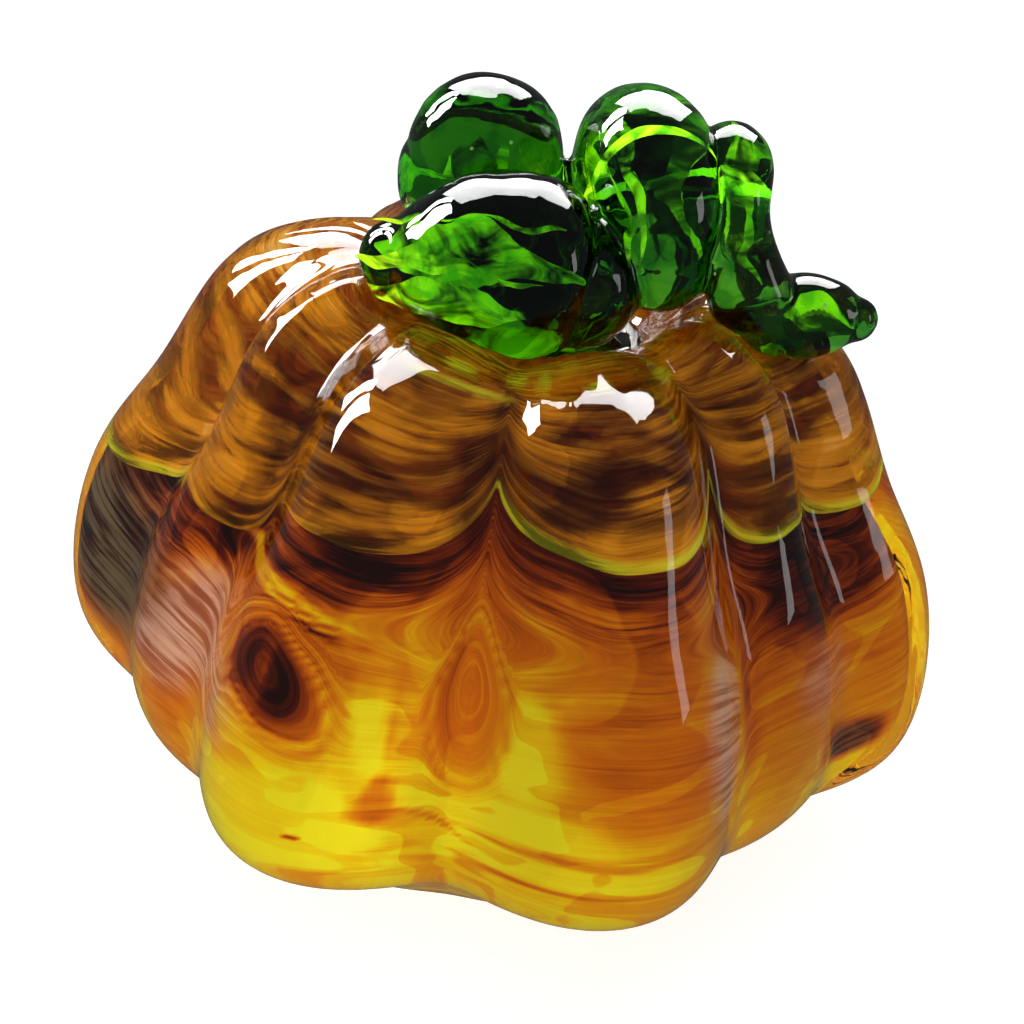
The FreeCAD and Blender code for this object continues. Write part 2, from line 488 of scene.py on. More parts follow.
def put_attribute(mesh: bpy.types.Mesh, name: str, values: np.ndarray) -> None:
    """Stores a number or a vector for each point of a mesh.

    Args:
        mesh: the mesh.
        name: the attribute's name.
        values: one number, or one row of three, for each point.
    """
    vector = values.ndim == 2
    layer = mesh.attributes.new(name, "FLOAT_VECTOR" if vector else "FLOAT", "POINT")
    layer.data.foreach_set("vector" if vector else "value",
                           np.ascontiguousarray(values, np.float32).ravel())


def new_object(name: str, data: Any) -> bpy.types.Object:
    """Adds an object to the scene at the origin.

    Args:
        name: its name.
        data: its mesh, curve, lamp or camera.

    Returns:
        The object.
    """
    thing = bpy.data.objects.new(name, data)
    bpy.context.scene.collection.objects.link(thing)
    return thing


def settled(thing: bpy.types.Object) -> bpy.types.Object:
    """Turns an object's evaluated shape into a plain mesh under the same name.

    Args:
        thing: the object, which is removed.

    Returns:
        The plain object that takes its place.
    """
    graph = bpy.context.evaluated_depsgraph_get()
    mesh = bpy.data.meshes.new_from_object(thing.evaluated_get(graph),
                                           preserve_all_data_layers=True, depsgraph=graph)
    name = thing.name
    bpy.data.objects.remove(thing)
    mesh.name = name
    return new_object(name, mesh)


def with_tree(thing: bpy.types.Object, tree: bpy.types.NodeTree,
              inputs: dict) -> bpy.types.Object:
    """Runs a geometry tree on an object and keeps its result as a plain mesh.

    Args:
        thing: the object that carries the tree.
        tree: the geometry tree.
        inputs: values for the tree's named inputs.

    Returns:
        The finished object.
    """
    modifier = thing.modifiers.new(tree.name, "NODES")
    modifier.node_group = tree
    for item in tree.interface.items_tree:
        if item.in_out == "INPUT" and item.name in inputs:
            modifier[item.identifier] = inputs[item.name]
    return settled(thing)


def new_tree(name: str, inputs: dict) -> tuple[Bench, bpy.types.Node]:
    """A geometry tree with named inputs.

    Args:
        name: the tree's name.
        inputs: socket types by name, after the geometry.

    Returns:
        The bench for the tree and its group input node.
    """
    tree = bpy.data.node_groups.new(name, "GeometryNodeTree")
    tree.interface.new_socket("Geometry", in_out="INPUT", socket_type="NodeSocketGeometry")
    tree.interface.new_socket("Geometry", in_out="OUTPUT", socket_type="NodeSocketGeometry")
    for label, kind in inputs.items():
        tree.interface.new_socket(label, in_out="INPUT", socket_type=kind)
    bench = Bench(tree)
    return bench, bench.node("NodeGroupInput")


def close_tree(bench: Bench, shape: Any, material: Any) -> bpy.types.NodeTree:
    """Ends a geometry tree in Realize Instances and Set Material.

    Args:
        bench: the tree's bench.
        shape: the finished geometry.
        material: the material's socket.

    Returns:
        The tree.
    """
    real = bench.node("GeometryNodeRealizeInstances", None, {0: shape})
    dressed = bench.node("GeometryNodeSetMaterial", None,
                         {"Geometry": real.outputs[0], "Material": material})
    bench.node("NodeGroupOutput", None, {0: dressed.outputs[0]})
    return bench.tree


# ---- the ribbed body -----------------------------------------------------------------
@dataclass
class RibbedForm:
    """The lobed form that every layer of the body follows. Sizes are in millimetres."""

    radius: float = 42.0
    height: float = 61.5
    rib_depth: float = 6.0
    lift: float = 2.7
    rim_overrun: float = 1.8
    dimple: float = 10.5
    dimple_floor: float = 9.0
    front_sag: float = 3.0
    grooves: tuple = (-45, -3, 41, 70, 106, 148, 190, 235, 282)
    fullness: tuple = (0.10, 0.11, -0.11, 0.06, 0.0, 0.0, 0.0, 0.10, -0.10)
    poles_per_lobe: int = 6
    rows: tuple = ((0.80, 0.135, 0.30, -0.010, 0.0), (1.085, 0.175, 0.85, -0.010, 0.0),
                   (1.045, 0.545, 1.00, 0.020, 0.0), (0.880, 0.690, 1.00, 0.030, 0.1),
                   (0.775, 0.930, 0.85, 0.045, 0.6), (0.575, 1.005, 0.50, 0.035, 1.0))
    lobe_rounding: float = 1.2
    fullness_fade: float = 1.25
    underside_radii: tuple = (2.0, 8.0, 15.0)
    underside_ease: float = 0.45
    rim_control: float = 0.55
    ridge_gain: float = 8.0
    ridge_control: float = 1.025
    ridge_groove: float = 0.2
    dimple_wall: tuple = (1.5, 0.3)
    dimple_wall_sag: float = 0.4
    weld: float = 2e-6
    wrinkles: Grain = Grain((1.0, 1.0, 4.0), 9.0, 2.0, 0.5, 0.3)
    wrinkle_rise: tuple = (0.55, 0.68)
    wrinkle_fall: tuple = (0.93, 0.80)
    axis: Vector = field(default_factory=lambda: Vector((0.0, 0.0, 0.0)))

    def columns(self) -> tuple[np.ndarray, np.ndarray, np.ndarray]:
        """Azimuth, crest and fullness of each column of poles, from the back.

        Returns:
            The three values of each column; the azimuth is in degrees from the front.
        """
        ends = list(self.grooves) + [self.grooves[0] + FULL_TURN]
        shares = np.arange(self.poles_per_lobe) / self.poles_per_lobe
        azimuth = np.concatenate([a + (b - a) * shares for a, b in zip(ends, ends[1:])])
        crest = np.tile(np.sin(np.pi * shares) ** self.lobe_rounding, len(self.grooves))
        full = np.repeat(self.fullness, self.poles_per_lobe) * crest
        behind = azimuth >= FULL_TURN / 2
        start = int(np.argmax(behind))
        turned = np.where(behind, azimuth - FULL_TURN, azimuth)
        return np.roll(turned, -start), np.roll(crest, -start), np.roll(full, -start)

    def ring(self, share: np.ndarray) -> dict[str, np.ndarray]:
        """Azimuth, crest, fullness and sag at places round the body.

        Args:
            share: places from 0 to 1 round the body, starting at the back.

        Returns:
            The four values at each place; the azimuth is in degrees from the front.
        """
        azimuth, crest, full = self.columns()
        count = len(azimuth)
        place = share * count
        first = np.floor(place).astype(int)
        t = place - first
        weights = ((1 - t) ** 3 / 6, (3 * t ** 3 - 6 * t ** 2 + 4) / 6,
                   (-3 * t ** 3 + 3 * t ** 2 + 3 * t + 1) / 6, t ** 3 / 6)
        lap = np.concatenate([azimuth - FULL_TURN, azimuth, azimuth + FULL_TURN])
        turn = sum(w * lap[count + first + k - 1] for k, w in enumerate(weights))
        sag = np.maximum(0.0, np.cos(np.radians(turn))) ** 2
        return {"azimuth": turn, "sag": sag,
                "crest": sum(w * crest[(first + k - 1) % count]
                             for k, w in enumerate(weights)),
                "fullness": sum(w * full[(first + k - 1) % count]
                                for k, w in enumerate(weights))}

    def _poles(self, crest: float) -> np.ndarray:
        """Meridian poles from the bottom axis to the top one, in a groove or on a crest.

        Args:
            crest: 0 in a groove and 1 on a crest.

        Returns:
            Radius and height of each pole, in millimetres.
        """
        floor = self.height - self.dimple
        near, far, last = self.underside_radii
        poles = [(0.0, self.lift), (near, self.lift), (far, self.lift),
                 (last, self.underside_ease * self.lift),
                 (self.rim_control * self.radius, -self.rim_overrun)]
        for across, up, depth, lower, _ in self.rows:
            poles.append((self.radius * across - self.rib_depth * depth * (1 - crest),
                          self.height * (up - lower * (1 - crest))))
        out, up = self.dimple_wall
        poles += [(self.dimple_floor + self.ridge_gain, self.height * self.ridge_control
                   - self.ridge_groove * self.rib_depth * (1 - crest)),
                  (self.dimple_floor + out, floor + up * self.dimple),
                  (self.dimple_floor, floor), (0.0, floor)]
        return np.array(poles)

    def lines(self, share: np.ndarray, wall: np.ndarray) -> dict[str, np.ndarray]:
        """Groove and crest meridians under a wall of glass.

        Args:
            share: places from 0 at the bottom axis to 1 at the top one.
            wall: depth under the surface at each place, in millimetres.

        Returns:
            Radius and height on both meridians, in metres, with the fullness and sag shares.
        """
        result = {}
        weights = spline_weights(len(self._poles(0.0)), share)
        for name, crest in (("groove_line", 0.0), ("crest_line", 1.0)):
            poles = self._poles(crest)
            along = np.gradient(poles, axis=0)
            along /= np.linalg.norm(along, axis=1)[:, None]
            inward = np.stack([-along[:, 1], along[:, 0]], axis=1)
            inward[:3] = (0.0, 1.0)         # the flat middle of the underside
            inward[-2:] = ((0.3, -1.0), (0.0, -1.0))    # the dimple's floor
            point = weights @ poles + (weights @ inward) * wall[:, None]
            result[name] = np.column_stack([np.maximum(point, 0.0) * MM,
                                            np.zeros(len(share))])
        below, above = [0.0] * 5, [0.0] * 4     # poles under the rows and over them
        swell = below + [min(1.0, 1 - self.fullness_fade * (1 - row[0]))
                         for row in self.rows] + above
        sagging = below + [row[4] for row in self.rows] + [1.0, self.dimple_wall_sag, 0.0, 0.0]
        result["swell"] = (weights @ np.array(swell)) * result["crest_line"][:, 0]
        result["sagging"] = weights @ np.array(sagging)
        return result

    def points(self, around: np.ndarray, share: np.ndarray, wall: np.ndarray) -> np.ndarray:
        """Places on a layer of the body, in metres, as the geometry tree makes them.

        Args:
            around: places from 0 to 1 round the body, from the back.
            share: height shares.
            wall: depth under the surface, in millimetres.

        Returns:
            One place for each point.
        """
        ring, line = self.ring(around), self.lines(share, wall)
        grooves, crests = line["groove_line"], line["crest_line"]
        out = (grooves[:, 0] + (crests[:, 0] - grooves[:, 0]) * ring["crest"]
               + line["swell"] * ring["fullness"])
        up = (grooves[:, 1] + (crests[:, 1] - grooves[:, 1]) * ring["crest"]
              - line["sagging"] * ring["sag"] * self.front_sag * MM)
        turn = np.radians(ring["azimuth"])
        return np.stack([out * np.sin(turn) + self.axis.x, self.axis.y - out * np.cos(turn),
                         np.maximum(up, 0.0)], axis=-1)

    def flow(self, azimuth: np.ndarray, height: np.ndarray) -> np.ndarray:
        """Seamless place for streak noise, in millimetres, from degrees and a height.

        Args:
            azimuth: degrees round the body from the front.
            height: height along the streaks, in millimetres.

        Returns:
            One vector for each point.
        """
        turn = np.radians(azimuth)
        return np.stack([self.radius * np.sin(turn), self.radius * np.cos(turn), height],
                        axis=1)

    def tree(self) -> bpy.types.NodeTree:
        """The geometry tree that wraps a flat net round the axis as a lobed layer.

        Returns:
            The tree.
        """
        bench, given = new_tree("lobed_layer", {
            "Rib depth": "NodeSocketFloat", "Front sag": "NodeSocketFloat",
            "Wrinkle depth": "NodeSocketFloat", "Axis": "NodeSocketVector",
            "Material": "NodeSocketMaterial"})

        def named(name: str, kind: str = "FLOAT") -> Term:
            """A stored attribute of the net."""
            return bench.term("GeometryNodeInputNamedAttribute", 0, {"data_type": kind},
                              {"Name": name})

        def parts(vector: Any) -> list[Term]:
            """The three numbers of a vector."""
            split = bench.node("ShaderNodeSeparateXYZ", None, {0: vector})
            return [Term(bench, socket) for socket in split.outputs]

        turn, crest = named("azimuth"), named("crest")
        groove, ridge = parts(named("groove_line", "FLOAT_VECTOR")), parts(
            named("crest_line", "FLOAT_VECTOR"))
        depth = Term(bench, given.outputs["Rib depth"])
        out = ridge[0] - (ridge[0] - groove[0]) * (1.0 - crest) * depth \
            + named("swell") * named("fullness")
        up = ridge[1] - (ridge[1] - groove[1]) * (1.0 - crest) * depth \
            - named("sagging") * named("sag") * Term(bench, given.outputs["Front sag"])
        sine, cosine = bench.maths("SINE", turn), bench.maths("COSINE", turn)
        seat = bench.term("ShaderNodeCombineXYZ", 0, None, {
            0: out * sine, 1: out * cosine * -1.0, 2: bench.maths("MAXIMUM", up, 0.0)})
        seat = bench.term("ShaderNodeVectorMath", 0, {"operation": "ADD"},
                          {0: seat, 1: given.outputs["Axis"]})
        round_net = bench.node("GeometryNodeSetPosition", None,
                               {"Geometry": given.outputs["Geometry"], "Position": seat})
        whole = bench.node("GeometryNodeMergeByDistance", None,
                           {"Geometry": round_net.outputs[0], "Distance": self.weld})
        around = bench.term("ShaderNodeCombineXYZ", 0, None, {0: sine, 1: cosine, 2: up})
        ripple = self.wrinkles.over(bench, around) - NOISE_MIDDLE
        push = ripple * named("wrinkle") * Term(bench, given.outputs["Wrinkle depth"])
        normal = bench.node("GeometryNodeInputNormal")
        shift = bench.term("ShaderNodeVectorMath", 0, {"operation": "SCALE"},
                           {0: normal.outputs[0], "Scale": push})
        wavy = bench.node("GeometryNodeSetPosition", None,
                          {"Geometry": whole.outputs[0], "Offset": shift})
        soft = bench.node("GeometryNodeSetShadeSmooth", None, {0: wavy.outputs[0]})
        return close_tree(bench, soft.outputs[0], given.outputs["Material"])


@dataclass
class Sheet:
    """One run of rows of a flat net: where its rows go and how deep they lie."""

    rows: np.ndarray
    wall: np.ndarray
    edge_follow: np.ndarray


@dataclass
class LayerNet:
    """A flat net of points that the geometry tree wraps into one layer of the body."""

    name: str
    form: RibbedForm
    around: int
    joined: bool = False

    def build(self, sheets: list[Sheet], tree: bpy.types.NodeTree, inputs: dict,
              paint: Any = None) -> bpy.types.Object:
        """Makes the net and wraps it.

        Args:
            sheets: the runs of rows, each from its first row to its last.
            tree: the wrapping tree.
            inputs: the tree's inputs.
            paint: a function from azimuth, height share and depth to named attributes.

        Returns:
            The finished layer.
        """
        turns = np.linspace(0.0, 1.0, self.around + 1)
        points, faces, shares, walls, rounds = [], [], [], [], []
        start = 0
        wide = self.around + 1
        for sheet in sheets:
            tall = len(sheet.rows)
            around = np.tile(turns, tall)
            share = np.repeat(sheet.rows, wide) + np.repeat(sheet.edge_follow, wide) \
                * petal_edge(self.form, around)
            rounds.append(around)
            shares.append(share)
            walls.append(np.repeat(sheet.wall, wide))
            row, column = np.divmod(np.arange((tall - 1) * self.around), self.around)
            corner = start + row * wide + column
            faces.append(np.stack([corner, corner + 1, corner + wide + 1, corner + wide], 1))
            start += tall * wide
        if self.joined:
            column = np.arange(self.around)
            last = start - wide + column
            faces.append(np.stack([last, last + 1, column + 1, column], 1))
        around, share, wall = map(np.concatenate, (rounds, shares, walls))
        quads = np.concatenate(faces)
        net = bpy.data.meshes.new(self.name)
        flat = np.stack([around, share, wall * MM], axis=1)
        net.vertices.add(len(flat))
        net.vertices.foreach_set("co", flat.astype(np.float32).ravel())
        net.loops.add(quads.size)
        net.loops.foreach_set("vertex_index", quads.astype(np.int32).ravel())
        net.polygons.add(len(quads))
        net.polygons.foreach_set("loop_start", np.arange(0, quads.size, 4, dtype=np.int32))
        net.update(calc_edges=True)
        chart = net.uv_layers.new(name="UVMap")
        chart.data.foreach_set("uv", flat[quads.ravel(), :2].astype(np.float32).ravel())
        ring, line = self.form.ring(around), self.form.lines(share, wall)
        azimuth = ring["azimuth"]
        ring["azimuth"] = np.radians(azimuth)
        for name, values in {**ring, **line}.items():
            put_attribute(net, name, values)
        put_attribute(net, "wrinkle", smooth_step(share, *self.form.wrinkle_rise)
                      * smooth_step(share, *self.form.wrinkle_fall))
        for name, values in (paint(azimuth, share, around) if paint else {}).items():
            put_attribute(net, name, values)
        return with_tree(new_object(self.name, net), tree, inputs)


# Share of the meridian where the amber coat ends, in each groove and on the crest after it.
PETAL_GROOVES = (0.590, 0.660, 0.655, 0.605, 0.640, 0.65, 0.64, 0.62, 0.552)
PETAL_CRESTS = (0.598, 0.607, 0.590, 0.585, 0.600, 0.60, 0.60, 0.515, 0.548)
PETAL_FULLNESS = 0.7        # power of the sine across a petal; less makes it squarer
PETAL_WOBBLE = 0.004


def petal_edge(form: RibbedForm, around: np.ndarray) -> np.ndarray:
    """Height share of the amber coat's scalloped lower edge at places round the body.

    Args:
        form: the body's form.
        around: places from 0 to 1 round the body, from the back.

    Returns:
        The edge's height share at each place.
    """
    azimuth = form.ring(around)["azimuth"]
    grooves = np.array(form.grooves, float)
    ends = np.append(grooves, grooves[0] + FULL_TURN)
    turned = np.where(azimuth < grooves[0], azimuth + FULL_TURN, azimuth)
    lobe = np.clip(np.searchsorted(ends, turned, side="right") - 1, 0, len(grooves) - 1)
    share = (turned - ends[lobe]) / (ends[lobe + 1] - ends[lobe])
    high = np.append(PETAL_GROOVES, PETAL_GROOVES[0])
    level = high[lobe] + (high[lobe + 1] - high[lobe]) * share
    drop = np.sin(np.pi * np.clip(share, 0.0, 1.0)) ** PETAL_FULLNESS
    wobble = PETAL_WOBBLE * wander(azimuth, np.zeros_like(azimuth), seed=31, pitch=9)
    return level + (np.array(PETAL_CRESTS)[lobe] - level) * drop + wobble


@dataclass(frozen=True)
class Patch:
    """A soft oval of one tone on a coloured layer.

    Its width is in degrees and its height in height shares; the slant is the rise in
    thousandths of a height share for each degree.
    """

    azimuth: float
    level: float
    wide: float
    tall: float
    tone: float
    strength: float = 1.0
    soft: float = 0.5
    slant: float = 0.0

    def distance(self, azimuth: np.ndarray, level: np.ndarray) -> np.ndarray:
        """Distance from the middle, where 1 is the oval's edge.

        Args:
            azimuth: degrees round the body from the front.
            level: height shares.

        Returns:
            The distance of each place.
        """
        east = (azimuth - self.azimuth + FULL_TURN / 2) % FULL_TURN - FULL_TURN / 2
        up = level - self.level - self.slant * east / 1000.0
        return np.hypot(east / self.wide, up / self.tall)

    def over(self, tone: np.ndarray, azimuth: np.ndarray, level: np.ndarray) -> np.ndarray:
        """The tones with this patch laid over them."""
        share = smooth_step(self.distance(azimuth, level), 1.0 + self.soft, 1.0 - self.soft)
        return tone + (self.tone - tone) * share * self.strength


def laid_over(tone: np.ndarray, patches: tuple, azimuth: np.ndarray,
              level: np.ndarray) -> np.ndarray:
    """The tones with several patches laid over them, the first one lowest.

    Args:
        tone: the tones underneath.
        patches: the patches.
        azimuth: degrees round the body from the front.
        level: height shares.

    Returns:
        The new tones.
    """
    for patch in patches:
        tone = patch.over(tone, azimuth, level)
    return tone


def wander(azimuth: np.ndarray, level: np.ndarray, seed: int, pitch: float) -> np.ndarray:
    """Slow seamless wobble of about one unit, for bending streaks and edges.

    Each of its four waves is finer, weaker and more slanted than the one before.

    Args:
        azimuth: degrees round the body.
        level: height shares.
        seed: which of the wobbles.
        pitch: waves round the body.

    Returns:
        The wobble at each place.
    """
    draw = np.random.default_rng(seed)
    total = np.zeros_like(azimuth)
    for octave in range(4):
        waves = max(1, round(pitch * (1.6 ** octave)))
        phase, lean = draw.uniform(0, 2 * np.pi), draw.uniform(-18, 18) * (1.5 ** octave)
        total += np.sin(np.radians(azimuth) * waves + phase + level * lean) / (1.7 ** octave)
    return total / 2.0


@dataclass
class Casing:
    """The clear outer glass with the bubble inside it."""

    form: RibbedForm
    finish: ClearGlass = ClearGlass()
    bubble_depth: float = 8.8
    around: int = 360
    rows: int = 200
    bubble_rows: int = 60

    def build(self, tree: bpy.types.NodeTree, settings: dict) -> bpy.types.Object:
        """Builds the casing.

        Args:
            tree: the wrapping tree.
            settings: the tree's shared inputs.

        Returns:
            The finished casing.
        """
        outer = np.linspace(0.0, 1.0, self.rows)
        inner = np.linspace(1.0, 0.0, self.bubble_rows)
        sheets = [Sheet(outer, np.zeros(self.rows), np.zeros(self.rows)),
                  Sheet(inner, np.full(self.bubble_rows, self.bubble_depth),
                        np.zeros(self.bubble_rows))]
        net = LayerNet("clear_casing_glass", self.form, self.around)
        return net.build(sheets, tree, {**settings, "Material": self.finish.material()})


@dataclass
class AmberCoat:
    """The upper amber coat whose lower edge hangs in a petal on each lobe."""

    form: RibbedForm
    depth: float = 2.6
    thickness: float = 1.1
    around: int = 420
    rows: int = 90
    patches: tuple = (
        Patch(-84, 0.56, 14, 0.040, 0.68), Patch(-66, 0.60, 10, 0.030, 0.62),
        Patch(-90, 0.74, 26, 0.060, 0.84, 0.8), Patch(-28, 0.63, 15, 0.045, 0.42, 0.7),
        Patch(-28, 0.72, 12, 0.02, 0.24, 0.8), Patch(-20, 0.675, 6, 0.008, 0.66, 0.8),
        Patch(-45, 0.66, 4, 0.05, 0.20, 0.8), Patch(-3, 0.70, 4, 0.06, 0.14, 0.8),
        Patch(18, 0.67, 18, 0.05, 0.20, 0.9), Patch(24, 0.650, 6, 0.010, 0.74, 0.8),
        Patch(20, 0.622, 14, 0.008, 0.60, 0.7), Patch(12, 0.69, 5, 0.008, 0.60, 0.8),
        Patch(28, 0.705, 4, 0.014, 0.66, 0.8), Patch(18, 0.735, 9, 0.008, 0.55, 0.8),
        Patch(41, 0.70, 4, 0.05, 0.18, 0.7), Patch(56, 0.645, 10, 0.03, 0.58, 0.8),
        Patch(70, 0.62, 10, 0.02, 0.56, 0.8), Patch(50, 0.75, 10, 0.03, 0.62, 0.7))
    # painted glints: lime patches on the crown stand in for the green stem's light refracted into
    # the glass under it
    lime_glints: tuple = (
        Patch(-3, 0.795, 4, 0.020, 1.0, 1.0, 0.3), Patch(18, 0.768, 2.6, 0.008, 1.0, 1.0, 0.2),
        Patch(-18, 0.78, 4, 0.010, 1.0, 0.9, 0.3), Patch(6, 0.79, 1.2, 0.020, 1.0, 0.8, 0.4),
        Patch(-12, 0.746, 9, 0.005, 1.0, 0.8, slant=-0.4), Patch(-24, 0.745, 3, 0.006, 1.0, 0.7),
        Patch(37, 0.775, 4, 0.02, 1.0, 0.7), Patch(-3, 0.83, 30, 0.02, 1.0, 0.35))
    tone: float = 0.47
    tone_swing: float = 0.14
    bend: float = 0.006
    rim_reach: tuple = (0.0040, 0.0005)
    droop_reach: float = 0.16
    cover: float = 0.44
    cover_swing: float = 0.18
    lip_cover: float = 0.16
    lip_cover_reach: float = 0.02
    crown_clearing: float = 0.12
    crown_reach: tuple = (0.70, 0.85)
    bright_lobes: tuple = (50.0, 56.0, 48.0)
    bright_far_left: tuple = ((-74.0, -80.0), (-130.0, -124.0))
    dull_rim: float = 0.08
    rim_mean: float = 0.75
    rim_swing: float = 0.35
    flow_base: float = 0.6
    row_crowding: float = 1.15
    lip_row: float = -0.0045

    def paint(self, azimuth: np.ndarray, level: np.ndarray,
              around: np.ndarray) -> dict[str, np.ndarray]:
        """Flow, tone, rim with its painted glints, and cover of the coat.

        Args:
            azimuth: degrees round the body from the front.
            level: height shares.
            around: places from 0 to 1 round the body, from the back.

        Returns:
            The values of each point attribute, by name.
        """
        above = level - petal_edge(self.form, around)
        bend = self.bend * wander(azimuth, level, seed=11, pitch=5)
        ground = self.tone + self.tone_swing * wander(azimuth, level, seed=12, pitch=7)
        tone = laid_over(ground, self.patches, azimuth, level)
        lime = laid_over(np.zeros_like(tone), self.lime_glints, azimuth, level)
        lip = smooth_step(above, *self.rim_reach)
        droop = smooth_step(above, self.droop_reach, 0.0)
        height = (above * droop + (level - self.flow_base) * (1 - droop) + bend) * LEVEL_MM
        # the coat is thicker along its lip and thinner towards the crown
        cover = self.cover + self.cover_swing * wander(azimuth, level, seed=13, pitch=6) \
            + self.lip_cover * smooth_step(above, self.lip_cover_reach, 0.0) \
            - self.crown_clearing * smooth_step(level, *self.crown_reach)
        # the lip is bright on the lobes right of the middle and on the far left one; that bright
        # lip is partly the coat's own edge colour and partly a painted highlight of the glass edge
        middle, *fade = self.bright_lobes
        near, far = self.bright_far_left
        bright = smooth_step(np.abs(azimuth - middle), *fade) \
            + smooth_step(azimuth, *near) * smooth_step(azimuth, *far)
        uneven = self.rim_mean + self.rim_swing * wander(azimuth, level, seed=14, pitch=11)
        lip = lip * (self.dull_rim + (1 - self.dull_rim) * bright) * uneven
        # the rim tint is partly the coat's own lip colour and partly painted light: lime glints
        # and a bright edge line
        rim = np.clip(lime + lip, 0.0, 1.0)
        return {"flow": self.form.flow(azimuth, height), "tone": tone, "rim": rim,
                "streak": np.ones_like(tone), "cover": np.clip(cover + rim, 0.1, 1.0)}

    def build(self, tree: bpy.types.NodeTree, settings: dict) -> bpy.types.Object:
        """Builds the coat as one closed shell with a rounded lower lip.

        Args:
            tree: the wrapping tree.
            settings: the tree's shared inputs.

        Returns:
            The finished coat.
        """
        climb = np.linspace(0.0, 1.0, self.rows) ** self.row_crowding
        under = climb[::-3]
        finish = StreakedGlass(
            "amber_coat", ((0.0, srgb(26, 10, 3)), (0.22, srgb(70, 32, 5)),
                           (0.45, srgb(138, 80, 8)), (0.65, srgb(190, 120, 14)),
                           (0.85, srgb(216, 142, 34)), (1.0, srgb(236, 186, 90))),
            glow=0.25, fine=0.95, broad=0.8, veil=True,
            # the yellow-green tint carries the lip colour and the painted glints
            tints=(("rim", srgb(150, 160, 16), srgb(206, 204, 40)),))
        near, far = self.depth, self.depth + self.thickness
        middle, half_lip = (near + far) / 2, 0.3
        sheet = Sheet(
            np.concatenate([climb, under, [self.lip_row] * 2]),
            np.concatenate([np.full(len(climb), near), np.full(len(under), far),
                            [middle + half_lip, middle - half_lip]]),
            np.concatenate([1.0 - climb, 1.0 - under, np.ones(2)]))
        net = LayerNet("amber_coat", self.form, self.around, joined=True)
        return net.build([sheet], tree, {**settings, "Material": finish.material()},
                         self.paint)


